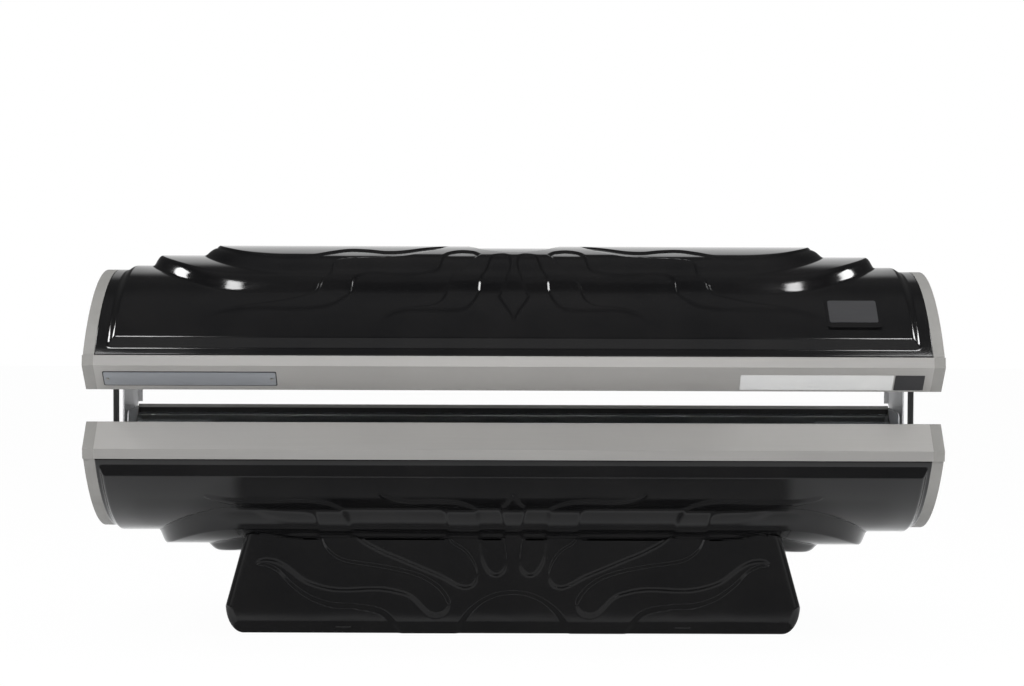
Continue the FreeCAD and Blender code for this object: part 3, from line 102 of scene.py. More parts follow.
# Bench, in plan: rays that come out from under the base cover and end on the field.
BENCH_RAYS = [
    [(-428, -225), (-428, -262), (-446, -281), (-481, -305), (-518, -316), (-570, -320),
     (-651, -315), (-730, -319), (-802, -330), (-759, -308), (-681, -288), (-622, -283),
     (-548, -280), (-521, -276), (-514, -262), (-514, -225)],
    [(-88, -225), (-89, -265), (-99, -285), (-123, -302), (-156, -313), (-211, -315),
     (-268, -314), (-308, -322), (-346, -338), (-308, -306), (-262, -296), (-211, -290),
     (-178, -280), (-173, -262), (-173, -225)],
    [(-24, -225), (-24, -265), (-33, -284), (-17, -308), (0, -337), (17, -308), (33, -284),
     (24, -265), (24, -225)],
]
# Base cover, in X and Z: from the floor line round each valley, up to the bench.
BASE_EDGES = [
    [(-292, -12), (-306, 17), (-343, 60), (-416, 78), (-480, 82), (-529, 97), (-563, 117),
     (-592, 141), (-622, 172), (-651, 187), (-678, 191)],
    [(-678, 191), (-661, 200), (-631, 197), (-602, 183), (-553, 146), (-504, 128),
     (-455, 121), (-357, 124), (-308, 117), (-269, 103), (-225, 61), (-205, 54), (-181, 61),
     (-169, 83), (-179, 108), (-201, 133), (-240, 157), (-294, 174), (-357, 186),
     (-406, 193), (-445, 200), (-475, 215), (-499, 242), (-515, 300)],
    [(-416, 300), (-409, 262), (-357, 228), (-294, 201), (-230, 174), (-186, 155),
     (-152, 136), (-127, 128), (-106, 135), (-96, 154), (-98, 182), (-113, 211),
     (-132, 231), (-162, 251), (-186, 300)],
    [(-92, 300), (-91, 266), (-86, 231), (-79, 197), (-64, 170), (-44, 161), (-25, 172),
     (-18, 197), (-20, 226), (-25, 268), (-26, 300)],
]


# ---------------------------------------------------------------- material nodes

class Nodes:
    """Short names for building one node material."""

    def __init__(self, name, **values):
        self.material = bpy.data.materials.new(name)
        self.material.use_nodes = True
        self.tree = self.material.node_tree
        self.shader = self.tree.nodes["Principled BSDF"]
        for key, value in values.items():
            self.shader.inputs[key.replace("_", " ")].default_value = value
        place = self.tree.nodes.new("ShaderNodeTexCoord")
        self.place = place.outputs["Object"]
        self.height = None

    def link(self, start, end):
        self.tree.links.new(start, end)

    def stretch(self, scale):
        node = self.tree.nodes.new("ShaderNodeMapping")
        node.inputs["Scale"].default_value = scale
        self.link(self.place, node.inputs["Vector"])
        return node.outputs["Vector"]

    def noise(self, scale, detail=3.0, rough=0.5, stretch=None, kind="ShaderNodeTexNoise"):
        node = self.tree.nodes.new(kind)
        node.inputs["Scale"].default_value = scale
        if "Detail" in node.inputs:
            node.inputs["Detail"].default_value = detail
            node.inputs["Roughness"].default_value = rough
        self.link(self.stretch(stretch) if stretch else self.place, node.inputs["Vector"])
        return node.outputs[0]

    def ramp(self, value, stops):
        node = self.tree.nodes.new("ShaderNodeValToRGB")
        ramp = node.color_ramp
        while len(ramp.elements) < len(stops):
            ramp.elements.new(0.5)
        for element, (at, colour) in zip(ramp.elements, stops):
            element.position = at
            element.color = (*colour, 1) if len(colour) == 3 else colour
        self.link(value, node.inputs["Fac"])
        return node.outputs["Color"]

    def range(self, value, low, high, from_low=0.3, from_high=0.7):
        node = self.tree.nodes.new("ShaderNodeMapRange")
        node.inputs["From Min"].default_value = from_low
        node.inputs["From Max"].default_value = from_high
        node.inputs["To Min"].default_value = low
        node.inputs["To Max"].default_value = high
        self.link(value, node.inputs["Value"])
        return node.outputs["Result"]

    def bump(self, value, strength, distance):
        node = self.tree.nodes.new("ShaderNodeBump")
        node.inputs["Strength"].default_value = strength
        node.inputs["Distance"].default_value = distance
        self.link(value, node.inputs["Height"])
        if self.height is not None:
            self.link(self.height, node.inputs["Normal"])
        self.height = node.outputs["Normal"]
        self.link(self.height, self.shader.inputs["Normal"])

    def colour(self, value):
        self.link(value, self.shader.inputs["Base Color"])

    def rough(self, value):
        self.link(value, self.shader.inputs["Roughness"])


def gloss_black(name, rough_low=0.07, rough_high=0.15):
    m = Nodes(name, IOR=1.49)
    cloud = m.noise(5.5, 4.0, 0.6)
    m.colour(m.ramp(cloud, [(0.3, (0.0022, 0.0022, 0.0026)), (0.7, (0.0045, 0.0043, 0.0045))]))
    smear = m.noise(9.0, 6.0, 0.65, stretch=(0.35, 1.0, 1.0))
    m.rough(m.range(smear, rough_low, rough_high))
    m.bump(m.noise(260.0, 1.0), 0.05, 0.0006)
    m.bump(m.noise(11.0, 1.0), 0.10, 0.0035)
    return m.material


def satin_metal(name, low, high, rough_low, rough_high, metallic, along=(0.5, 60.0, 60.0)):
    m = Nodes(name, Metallic=metallic)
    cloud = m.noise(3.0, 3.0, 0.5)
    lines = m.noise(9.0, 5.0, 0.7, stretch=along)
    tone = m.ramp(lines, [(0.25, low), (0.75, high)])
    fade = m.ramp(cloud, [(0.3, low), (0.7, high)])
    blend = m.tree.nodes.new("ShaderNodeMix")
    blend.data_type = "RGBA"
    blend.inputs[0].default_value = 0.4
    m.link(tone, blend.inputs[6])
    m.link(fade, blend.inputs[7])
    m.colour(blend.outputs[2])
    m.rough(m.range(lines, rough_low, rough_high))
    m.bump(lines, 0.08, 0.0004)
    return m.material


def grained_plastic(name, low, high, rough_low, rough_high, grain=900.0, depth=0.12):
    m = Nodes(name, IOR=1.5)
    cloud = m.noise(7.0, 4.0, 0.55)
    m.colour(m.ramp(cloud, [(0.3, low), (0.7, high)]))
    pits = m.noise(grain, 2.0, 0.6)
    m.rough(m.range(pits, rough_low, rough_high))
    m.bump(pits, depth, 0.0004)
    return m.material


def powder_coat(name, low, high, rough_low=0.38, rough_high=0.5):
    m = Nodes(name, IOR=1.5)
    cloud = m.noise(9.0, 4.0, 0.6)
    m.colour(m.ramp(cloud, [(0.3, low), (0.7, high)]))
    skin = m.noise(420.0, 2.0, 0.5)
    m.rough(m.range(skin, rough_low, rough_high))
    m.bump(skin, 0.14, 0.0005)
    return m.material


def clear_acrylic(name):
    m = Nodes(name, IOR=1.49, Transmission_Weight=0.94)
    haze = m.noise(4.0, 4.0, 0.6)
    m.colour(m.ramp(haze, [(0.3, (0.90, 0.94, 0.97)), (0.7, (0.95, 0.97, 0.98))]))
    scratch = m.noise(60.0, 3.0, 0.6, stretch=(0.2, 1.0, 1.0))
    m.rough(m.range(scratch, 0.02, 0.07))
    m.bump(m.noise(5.0, 1.0), 0.05, 0.002)
    return m.material


def lamp_glass(name):
    m = Nodes(name, IOR=1.5, Coat_Weight=0.6, Coat_Roughness=0.04)
    cloud = m.noise(14.0, 3.0, 0.5, stretch=(0.3, 1.0, 1.0))
    m.colour(m.ramp(cloud, [(0.3, (0.74, 0.76, 0.80)), (0.7, (0.82, 0.83, 0.85))]))
    m.rough(m.range(cloud, 0.16, 0.26))
    return m.material


def polished_sheet(name):
    m = Nodes(name, Metallic=1.0)
    lines = m.noise(30.0, 4.0, 0.6, stretch=(0.05, 6.0, 6.0))
    m.colour(m.ramp(lines, [(0.3, (0.72, 0.72, 0.73)), (0.7, (0.83, 0.83, 0.84))]))
    m.rough(m.range(lines, 0.14, 0.26))
    m.bump(m.noise(7.0, 1.0), 0.06, 0.002)
    return m.material


def rubber(name):
    m = Nodes(name, IOR=1.5)
    cloud = m.noise(40.0, 4.0, 0.6)
    m.colour(m.ramp(cloud, [(0.3, (0.012, 0.012, 0.012)), (0.7, (0.022, 0.021, 0.02))]))
    m.rough(m.range(cloud, 0.55, 0.75))
    m.bump(m.noise(600.0, 2.0), 0.15, 0.0004)
    return m.material


finishes = {
    "black_shell": gloss_black("black_shell_gloss"),
    "satin_rail": satin_metal("rail_satin", (0.39, 0.38, 0.37), (0.45, 0.44, 0.425),
                              0.36, 0.46, 0.55),
    "end_cap": grained_plastic("cap_grained", (0.20, 0.195, 0.185), (0.235, 0.23, 0.22),
                               0.42, 0.55),
    "acrylic": clear_acrylic("acrylic_clear"),
    "rubber": rubber("rubber_black"),
    "steel_plate": powder_coat("plate_powder_coat", (0.66, 0.66, 0.67), (0.72, 0.72, 0.73)),
    "zinc_steel": satin_metal("zinc_plated", (0.50, 0.50, 0.48), (0.64, 0.64, 0.61),
                              0.25, 0.4, 1.0, along=(8.0, 8.0, 8.0)),
    "black_steel": powder_coat("black_paint", (0.012, 0.012, 0.012), (0.02, 0.02, 0.02),
                               0.3, 0.42),
    "chrome_rod": satin_metal("chrome_hard", (0.70, 0.70, 0.71), (0.80, 0.80, 0.80),
                              0.06, 0.12, 1.0, along=(60.0, 60.0, 0.5)),
    "lamp_glass": lamp_glass("lamp_coated_glass"),
    "reflector": polished_sheet("reflector_sheet"),
    "white_plastic": grained_plastic("holder_plastic", (0.72, 0.72, 0.70),
                                     (0.80, 0.80, 0.78), 0.35, 0.5),
    "fan_plastic": grained_plastic("fan_moulded", (0.02, 0.02, 0.02), (0.032, 0.032, 0.032),
                                   0.4, 0.55),
    "ballast_steel": powder_coat("ballast_paint", (0.08, 0.08, 0.08), (0.12, 0.12, 0.12)),
    "red_button": grained_plastic("button_moulded", (0.42, 0.02, 0.015),
                                  (0.55, 0.03, 0.02), 0.22, 0.32, 500.0, 0.05),
}

node_slot = {part["node"]: part["material_slot"] for part in frame["record"]["subparts"]}


# ---------------------------------------------------------------- mesh helpers

def make_piece(name, verts, faces, material):
    mesh = bpy.data.meshes.new(name)
    mesh.from_pydata([tuple(v) for v in verts], [], faces)
    mesh.validate()
    mesh.update()
    piece = bpy.data.objects.new(name, mesh)
    scene.collection.objects.link(piece)
    mesh.materials.append(material)
    mesh.polygons.foreach_set("use_smooth", [True] * len(mesh.polygons))
    return piece


def settle(piece, body, slot, *nodes):
    """Puts a piece on its body and hides what it stands for; the slot is not used."""
    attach(piece, body)
    if nodes:
        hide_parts(*nodes)


def bevel(piece, width, segments):
    """Rounds the sharp edges of a CAD node as a modifier, without changing the node."""
    modifier = piece.modifiers.new("edges", "BEVEL")
    modifier.width = width
    modifier.segments = segments
    modifier.limit_method = "ANGLE"
    modifier.angle_limit = math.radians(SHARP_EDGE)
    modifier.harden_normals = False


def dots_of(points, reach=6):
    """Points along a smooth curve through the given ones, about reach apart."""
    knots = np.array(points, float)
    ends = 2 * knots[0] - knots[1], 2 * knots[-1] - knots[-2]
    knots = np.vstack([ends[0], knots, ends[1]])
    dots = [points[0]]
    for before, start, end, after in zip(knots, knots[1:], knots[2:], knots[3:]):
        span = np.linalg.norm(end - start)
        leave = (end - before) * span / (np.linalg.norm(start - before) + span)
        arrive = (after - start) * span / (np.linalg.norm(after - end) + span)
        count = max(2, round(span / reach))
        for part in np.arange(1, count + 1) / count:
            square, cube = part * part, part ** 3
            dots.append(tuple((2 * cube - 3 * square + 1) * start
                              + (cube - 2 * square + part) * leave
                              + (3 * square - 2 * cube) * end
                              + (cube - square) * arrive))
    return dots


def flipped(dots, axis):
    """The mirrored chain, run backwards so that it carries on from the first."""
    return [(-x, y) if axis == 0 else (x, -y) for x, y in reversed(dots)]


def smooth_step(value, low, high):
    part = np.clip((value - low) / (high - low), 0, 1)
    return part * part * (3 - 2 * part)


def soft_max(one, two, width):
    part = np.clip(width - np.abs(one - two), 0, None) / width
    return np.maximum(one, two) + part * part * width / 4


def soft_min(one, two, width):
    return -soft_max(-one, -two, width)


def outline_distance(loops, xs, ys, reach=0.02):
    """Signed distance in the plane from closed loops, negative inside, clipped to reach."""
    inside = np.zeros((len(xs), len(ys)), bool)
    away = np.full((len(xs), len(ys)), reach)
    for loop in loops:
        for (ax, ay), (bx, by) in zip(loop, loop[1:] + loop[:1]):
            ax, ay, bx, by = ax / MM, ay / MM, bx / MM, by / MM
            if ax != bx:
                low, high = sorted((ax, bx))
                columns = np.nonzero((xs >= low) & (xs < high))[0]
                cross = ay + (by - ay) * (xs[columns] - ax) / (bx - ax)
                inside[columns] ^= ys[None, :] < cross[:, None]
            i0, i1 = np.searchsorted(xs, (min(ax, bx) - reach, max(ax, bx) + reach))
            j0, j1 = np.searchsorted(ys, (min(ay, by) - reach, max(ay, by) + reach))
            if i0 >= i1 or j0 >= j1:
                continue
            px = xs[i0:i1, None] - ax
            py = ys[None, j0:j1] - ay
            dx, dy = bx - ax, by - ay
            along = np.clip((px * dx + py * dy) / max(dx * dx + dy * dy, 1e-12), 0, 1)
            gap = np.hypot(px - along * dx, py - along * dy)
            away[i0:i1, j0:j1] = np.minimum(away[i0:i1, j0:j1], gap)
    return np.where(inside, -away, away)


# ---------------------------------------------------------------- moulded shells

def terrace_distance(plan, x, y):
    """Signed distance in plan from a terrace's edge: straight side, tangent arc, tip."""
    length, width, straight, nose = plan
    x, y = np.abs(x), np.abs(y)
    run = length - nose - straight
    sweep = (run * run + width * width - nose * nose) / (2 * (width - nose))
    side = y - width
    arc = np.hypot(x - straight, y - (width - sweep)) - sweep
    tip = np.hypot(x - (length - nose), y) - nose
    lean = (x - straight) * (sweep - width) - run * (y - (width - sweep))
    return np.where(x < straight, side, np.where(lean < 0, arc, tip))


def shell_depth(name, x, y, sun=0.0):
    """Depth of the moulded form above the rail mouth over the plan points."""
    def drum(radius):
        return np.sqrt(np.maximum(radius * radius - y * y, 0)) - AXIS_DEPTH

    outer_end, inner_end = FIELD_ENDS[name]
    ramp = smooth_step(-np.abs(x), -outer_end, -inner_end)
    edge = smooth_step(-np.abs(y), -FIELD_SIDES[0], -FIELD_SIDES[1])
    depth = drum(BAND) + (drum(FIELD) - drum(BAND)) * ramp * edge
    below, outside = FIELD, np.inf
    for radius, draft, plan in TERRACES[name]:
        wall = (below - AXIS_DEPTH
                - terrace_distance(plan, x, y) / math.tan(math.radians(draft)))
        outside = np.minimum(outside, wall)
        terrace = soft_min(drum(radius) + 0 * x, outside, TERRACE_CREST)
        depth = soft_max(depth, terrace, TERRACE_FOOT)
        below = radius
    return depth + RELIEF * sun


def sheet(xs, ys, z):
    """Grid of points over a plan."""
    return np.stack(np.broadcast_arrays(xs[:, None], ys[None, :], z), -1).copy()


def make_shell(name, up, loops, disc):
    """Outer and inner skin of a shell with its rim; up tells that the mouth is on top."""
    every = INNER_EVERY
    half = math.sqrt(BAND ** 2 - (AXIS_DEPTH + SHELL_EDGE) ** 2)
    columns = int(2 * HALF_BODY / SHELL_STEP / every) * every
    rows = int(2 * half / SHELL_STEP / every) * every
    xs = np.linspace(-HALF_BODY, HALF_BODY, columns + 1)
    ys = np.linspace(-half, half, rows + 1)
    away = outline_distance(loops, xs, ys)
    sun = smooth_step(-away, -RAY_BLEND, RAY_BLEND)
    if disc:
        out = np.hypot(xs[:, None], ys[None, :]) - SUN_RADIUS
        sun = sun * smooth_step(out, -SUN_BLEND, SUN_BLEND)
    depth = shell_depth(name, xs[:, None], ys[None, :], sun)
    sign = -1 if up else 1
    mouth = BENCH_MOUTH if up else CANOPY_MOUTH
    outer = sheet(xs, ys, mouth + sign * depth)
    # the inner skin is coarser, and each of its points lies under the lowest one round it
    drum = np.sqrt(BAND ** 2 - ys[None, :] ** 2) - AXIS_DEPTH
    rise = np.pad(depth - drum, every, mode="edge")
    lowest = np.min([rise[a:a + columns + 1:every, b:b + rows + 1:every]
                     for a in range(2 * every + 1) for b in range(2 * every + 1)], axis=0)
    hidden = drum[:, ::every] + lowest
    gx, gy = np.gradient(hidden, xs[::every], ys[::every])
    size = np.sqrt(gx * gx + gy * gy + 1)
    inner = sheet(xs[::every], ys[::every], mouth + sign * hidden)
    inner += SHELL_WALL * np.stack([gx / size, gy / size, -sign / size], -1)
    inner[0, :, 0] = outer[0, ::every, 0]
    inner[-1, :, 0] = outer[-1, ::every, 0]
    na, nb = outer.shape[1], inner.shape[1]
    verts = np.concatenate([outer.reshape(-1, 3), inner.reshape(-1, 3)])
    base = outer.shape[0] * na
    i, j = np.meshgrid(np.arange(columns), np.arange(rows), indexing="ij")
    a = (i * na + j).ravel()
    quads = np.stack([a, a + na, a + na + 1, a + 1], -1)
    i, j = np.meshgrid(np.arange(columns // every), np.arange(rows // every),
                       indexing="ij")
    b = (base + i * nb + j).ravel()
    inside = np.stack([b, b + 1, b + nb + 1, b + nb], -1)
    if up:
        quads, inside = quads[:, ::-1], inside[:, ::-1]
    faces = quads.tolist() + inside.tolist()
    for end, line in ((0, 0), (columns, columns // every)):
        for j in range(rows // every):
            ring = [end * na + every * j + k for k in range(every + 1)]
            ring += [base + line * nb + j + 1, base + line * nb + j]
            faces.append(ring if (end == 0) != up else ring[::-1])
    for end, line in ((0, 0), (rows, rows // every)):
        for i in range(columns // every):
            ring = [(every * i + k) * na + end for k in range(every + 1)]
            ring += [base + (i + 1) * nb + line, base + i * nb + line]
            faces.append(ring[::-1] if (end == 0) != up else ring)
    return make_piece(name + "_moulded_shell", verts, faces, finishes["black_shell"])


front = [dots_of(edge) for edge in CANOPY_EDGES]
half_sun = front + [flipped(edge, 0) for edge in reversed(front)]
whole_sun = half_sun + [flipped(edge, 1) for edge in reversed(half_sun)]
canopy_loop = [dot for edge in whole_sun for dot in edge[:-1]]
shell = make_shell("canopy", False, [canopy_loop], True)
settle(shell, "canopy", "black_shell", "canopy_shell")

bench_loops = []
for ray in BENCH_RAYS:
    copies = [dots_of(ray)]
    if ray[0][0] + ray[-1][0] != 0:
        copies.append(flipped(copies[0], 0))
    bench_loops += copies + [flipped(copy, 1) for copy in copies]
shell = make_shell("bench", True, bench_loops, False)
settle(shell, "bench", "black_shell", "bench_shell")


# ---------------------------------------------------------------- base cover

BASE_FRONT = -0.224
BASE_BOTTOM = 0.004
BASE_EDGE = 0.024
BASE_CORNER = 0.076
BASE_RELIEF = 0.0058
BASE_WALL = 0.0038
BASE_BEVEL, BASE_BEVEL_DEPTH = 0.028, 0.014
BASE_HALF, BASE_REAR = 0.764, 0.220
# half length below and at the bench, height and width of the lower corner
BASE_OUTLINE = {"front": (BASE_HALF, 0.710, BASE_CORNER, 0.046),
                "rear": (0.757, 0.701, 0.068, 0.068)}
BASE_KNEE, BASE_TOP = 0.075, 0.270          # heights between which the sides flare
BASE_SUN_DROP, BASE_SUN_RADIUS = 0.039, 0.155
BASE_RAY_BLEND, BASE_SUN_BLEND = 0.004, 0.0035
RELIEF_FADE = 0.02                          # the relief dies out towards the sides
RELIEF_STEP = 0.0025
RELIEF_ACROSS, RELIEF_UP = (-0.78, 0.7801), (-0.02, 0.3201)
BASE_TRIM, BASE_ROW = 0.295, 0.0034         # top of the sheet before it is trimmed
BASE_COLUMNS, NOSE_COLUMNS, CORNER_ROWS = 430, 9, 26
BASE_DEPTHS = (0.0, 0.03, 0.1, 0.25, 0.4, 0.55, 0.7, 0.85, 1.0)
BENCH_GAP = 0.0006


def base_half(z, end="front"):
    """Half length of the base at a height: flared sides and rounded lower corners."""
    half, top, high, wide = BASE_OUTLINE[end]
    flare = half - (z - BASE_KNEE) * (half - top) / (BASE_TOP - BASE_KNEE)
    flare = np.where(z < BASE_KNEE, half, flare)
    low = np.clip(1 - (z - BASE_BOTTOM) / high, 0, 1)
    corner = half - wide * (1 - np.sqrt(1 - low * low))
    return np.where(z < BASE_BOTTOM + high, np.minimum(corner, flare), flare)


def base_relief(x, z):
    """Share of the relief, 0 to 1, over points of the front of the base."""
    step = RELIEF_STEP
    xs, zs = np.arange(*RELIEF_ACROSS, step), np.arange(*RELIEF_UP, step)
    chain = [dot for edge in BASE_EDGES for dot in dots_of(edge)]
    away = outline_distance([chain + flipped(chain, 0)], xs, zs)
    disc = np.hypot(xs[:, None], zs[None, :] + BASE_SUN_DROP) - BASE_SUN_RADIUS
    sun = (smooth_step(-away, -BASE_RAY_BLEND, BASE_RAY_BLEND)
           * smooth_step(disc, -BASE_SUN_BLEND, BASE_SUN_BLEND))
    column = np.clip((x - xs[0]) / step, 0, len(xs) - 1.001)
    row = np.clip((z + 0 * x - zs[0]) / step, 0, len(zs) - 1.001)
    i, j = column.astype(int), row.astype(int)
    across, up = column - i, row - j
    lower = sun[i, j] * (1 - across) + sun[i + 1, j] * across
    upper = sun[i, j + 1] * (1 - across) + sun[i + 1, j + 1] * across
    return lower * (1 - up) + upper * up


def make_base():
    """Front and sides of the base as one sheet, open to the rear, the top and the floor."""
    nose = BASE_EDGE * np.linspace(0, 1, NOSE_COLUMNS)[:-1] ** 2 / BASE_HALF
    middle = np.linspace(BASE_EDGE / BASE_HALF - 1, 1 - BASE_EDGE / BASE_HALF, BASE_COLUMNS)
    across = np.concatenate([nose - 1, middle, 1 - nose[::-1]])
    turn = np.linspace(0, math.pi / 2, CORNER_ROWS)
    low = BASE_BOTTOM + BASE_CORNER * (1 - np.cos(turn))
    heights = np.concatenate([low[:-1], np.arange(low[-1], BASE_TRIM, BASE_ROW)])
    z = heights[None, :]
    x = across[:, None] * base_half(z)
    from_side = base_half(z) - np.abs(x)
    curl = np.clip(BASE_EDGE - from_side, 0, BASE_EDGE)
    back = BASE_EDGE - np.sqrt(np.maximum(BASE_EDGE ** 2 - curl ** 2, 0))
    lean = np.clip(1 - (z - BASE_BOTTOM) / BASE_BEVEL, 0, 1) * BASE_BEVEL_DEPTH
    lift = BASE_RELIEF * base_relief(x, z) * smooth_step(from_side, 0.0, RELIEF_FADE)
    y = BASE_FRONT + np.maximum(back, lean + 0 * x) - lift
    face = np.stack([x, y, z + 0 * x], -1)
    runs = [face]
    for side in (0, -1):
        turned = base_half(heights, "rear") * np.sign(face[side, 0, 0]) - face[side, :, 0]
        rows = [face[side] + part * np.stack([turned, BASE_REAR - face[side, :, 1],
                                              0 * heights], -1)
                for part in BASE_DEPTHS]
        runs.append(np.stack(rows if side else rows[::-1]))
    verts, faces = [], []
    for grid in runs:
        count, high = grid.shape[:2]
        i, j = np.meshgrid(np.arange(count - 1), np.arange(high - 1), indexing="ij")
        first = (sum(len(v) for v in verts) + i * high + j).ravel()
        faces += np.stack([first, first + high, first + high + 1, first + 1], -1).tolist()
        verts.append(grid.reshape(-1, 3))
    verts = np.concatenate(verts)
    under = BENCH_MOUTH - shell_depth("bench", verts[:, 0], verts[:, 1]) - BENCH_GAP
    verts[:, 2] = np.minimum(verts[:, 2], under)
    return verts, faces


base = make_piece("base_moulded_cover", *make_base(), finishes["black_shell"])
seams = bmesh.new()
seams.from_mesh(base.data)
bmesh.ops.remove_doubles(seams, verts=seams.verts, dist=1e-5)
seams.to_mesh(base.data)
seams.free()
wall = base.modifiers.new("wall", "SOLIDIFY")
wall.thickness = BASE_WALL
wall.offset = -1
settle(base, "bench", "black_shell", "base_cover")


# ---------------------------------------------------------------- plates on the canopy

def plate_material(name, low, high):
    return satin_metal(name, low, high, 0.3, 0.42, 0.8, along=(1.0, 90.0, 90.0))


brushed_plate = plate_material("plate_brushed", (0.40, 0.42, 0.46), (0.50, 0.52, 0.55))
pale_plate = grained_plastic("plate_pale", (0.50, 0.50, 0.50), (0.56, 0.56, 0.55),
                             0.3, 0.42)
dark_plate = grained_plastic("plate_dark", (0.02, 0.02, 0.022), (0.03, 0.03, 0.032),
                             0.3, 0.4)
badge_finish = plate_material("badge_brushed", (0.10, 0.10, 0.105), (0.15, 0.15, 0.155))


# Faces that carry plates: their lower and upper edge in the middle plane.
RAIL_FOOT, RAIL_CREASE, RAIL_RISE = -0.360, -0.424, 0.065
RAIL_FACE = (Vector((0, RAIL_FOOT, CANOPY_MOUTH)),
             Vector((0, RAIL_CREASE, CANOPY_MOUTH + RAIL_RISE)))
BADGE_TILT, BADGE_UP = math.radians(50.3), 0.059
CORNER_STEPS = 4
badge_out = Vector((0, -math.cos(BADGE_TILT), math.sin(BADGE_TILT)))
badge_rise = Vector((0, math.sin(BADGE_TILT), math.cos(BADGE_TILT)))
badge_middle = Vector((0, 0, CANOPY_AXIS)) + FIELD * badge_out
BADGE_FACE = badge_middle - BADGE_UP * badge_rise, badge_middle + BADGE_UP * badge_rise


def plate_on(face, name, along, across, thick, material, slot, corner=0.004):
    """A flat piece with rounded corners on a face; all three spans are low and high."""
    low, high = face
    rise = (high - low).normalized()
    outwards = Vector((0, -rise.z, rise.y))

    def spot(x, up, out):
        return Vector((x, 0, 0)) + low + rise * up + outwards * out

    made = bmesh.new()
    outline = []
    for end_x, end_up, first in ((1, 1, 0), (0, 1, 90), (0, 0, 180), (1, 0, 270)):
        cx = along[end_x] + (corner if end_x == 0 else -corner)
        cy = across[end_up] + (corner if end_up == 0 else -corner)
        for step in range(CORNER_STEPS + 1):
            turned = math.radians(first + step * 90 / CORNER_STEPS)
            outline.append((cx + corner * math.cos(turned), cy + corner * math.sin(turned)))
    under = [made.verts.new(spot(x, up, thick[0])) for x, up in outline]
    over = [made.verts.new(spot(x, up, thick[1])) for x, up in outline]
    made.faces.new(over[::-1])
    made.faces.new(under)
    for k in range(len(outline)):
        n = (k + 1) % len(outline)
        made.faces.new((under[n], under[k], over[k], over[n]))
    bmesh.ops.recalc_face_normals(made, faces=made.faces[:])
    rim = [e for e in made.edges if all(v in over for v in e.verts)]
    bmesh.ops.bevel(made, geom=rim, offset=(thick[1] - thick[0]) * 0.4, segments=2,
                    affect="EDGES")
    mesh = bpy.data.meshes.new(name)
    made.to_mesh(mesh)
    made.free()
    mesh.materials.append(material)
    piece = bpy.data.objects.new(name, mesh)
    scene.collection.objects.link(piece)
    settle(piece, "canopy", slot)


NAME_ALONG, NAME_ACROSS, NAME_RIM = (-1.056, -0.609), (0.016, 0.069), 0.0025
SCREW_IN, SCREW_RADIUS = 0.013, 0.0042
DATA_ACROSS, DATA_THICK, DATA_CORNER = (0.006, 0.062), (0.0, 0.0006), 0.002

plate_on(RAIL_FACE, "name_plate_rim", NAME_ALONG, NAME_ACROSS, (0.0, 0.0010), dark_plate,
         "satin_rail")
plate_on(RAIL_FACE, "name_plate", (NAME_ALONG[0] + NAME_RIM, NAME_ALONG[1] - NAME_RIM),
         (NAME_ACROSS[0] + NAME_RIM, NAME_ACROSS[1] - NAME_RIM), (0.0, 0.0018),
         brushed_plate, "satin_rail")
for word, middle in (("left", NAME_ALONG[0] + SCREW_IN), ("right", NAME_ALONG[1] - SCREW_IN)):
    centre = sum(NAME_ACROSS) / 2
    plate_on(RAIL_FACE, "name_plate_screw_" + word,
             (middle - SCREW_RADIUS, middle + SCREW_RADIUS),
             (centre - SCREW_RADIUS, centre + SCREW_RADIUS), (0.0, 0.0034),
             finishes["zinc_steel"], "zinc_steel", SCREW_RADIUS)
for name, along, finish in (("data_plate", (0.583, 0.976), pale_plate),
                            ("dark_data_plate", (0.980, 1.056), dark_plate)):
    plate_on(RAIL_FACE, name, along, DATA_ACROSS, DATA_THICK, finish, "satin_rail",
             DATA_CORNER)
plate_on(BADGE_FACE, "badge_boss", (0.807, 0.955), (0.0, 2 * BADGE_UP), (-0.008, 0.0018),
         finishes["black_shell"], "black_shell", 0.012)
plate_on(BADGE_FACE, "badge_plate", (0.817, 0.943), (0.022, 0.108), (0.0010, 0.0030),
         badge_finish, "black_shell", 0.006)


# ---------------------------------------------------------------- the CAD nodes that show

for node, thing in frame["nodes"].items():
    finish = finishes[node_slot[node]]
    if not thing.material_slots:
        thing.data.materials.append(finish)
    for place in thing.material_slots:
        place.material = finish

for half in ("bench", "canopy"):
    for word in ("front", "rear"):
        bevel(frame["nodes"][half + "_" + word + "_rail"], *RAIL_ROUND)
    for word in ("left", "right"):
        bevel(frame["nodes"][half + "_end_cap_" + word], *CAP_ROUND)


# ---------------------------------------------------------------- camera, floor and light

CAMERA_PLACE = (-0.0055, -6.598, 1.0316)
CAMERA_DOWN, CAMERA_ROLL = 2.291, -0.186      # degrees
FLOOR_GLOW = 0.975
FLOOR_HALF = 14

lens = bpy.data.cameras.new("camera")
lens.sensor_width = 36
lens.lens = 85
camera = bpy.data.objects.new("camera", lens)
scene.collection.objects.link(camera)
camera.location = CAMERA_PLACE
camera.rotation_euler = (math.radians(90 - CAMERA_DOWN), math.radians(CAMERA_ROLL), 0)
scene.camera = camera

floor_mesh = bpy.data.meshes.new("floor")
corners = [(x * FLOOR_HALF, y * FLOOR_HALF, 0) for x, y in ((-1, -1), (1, -1), (1, 1), (-1, 1))]
floor_mesh.from_pydata(corners, [], [(0, 1, 2, 3)])
floor = bpy.data.objects.new("floor", floor_mesh)
scene.collection.objects.link(floor)


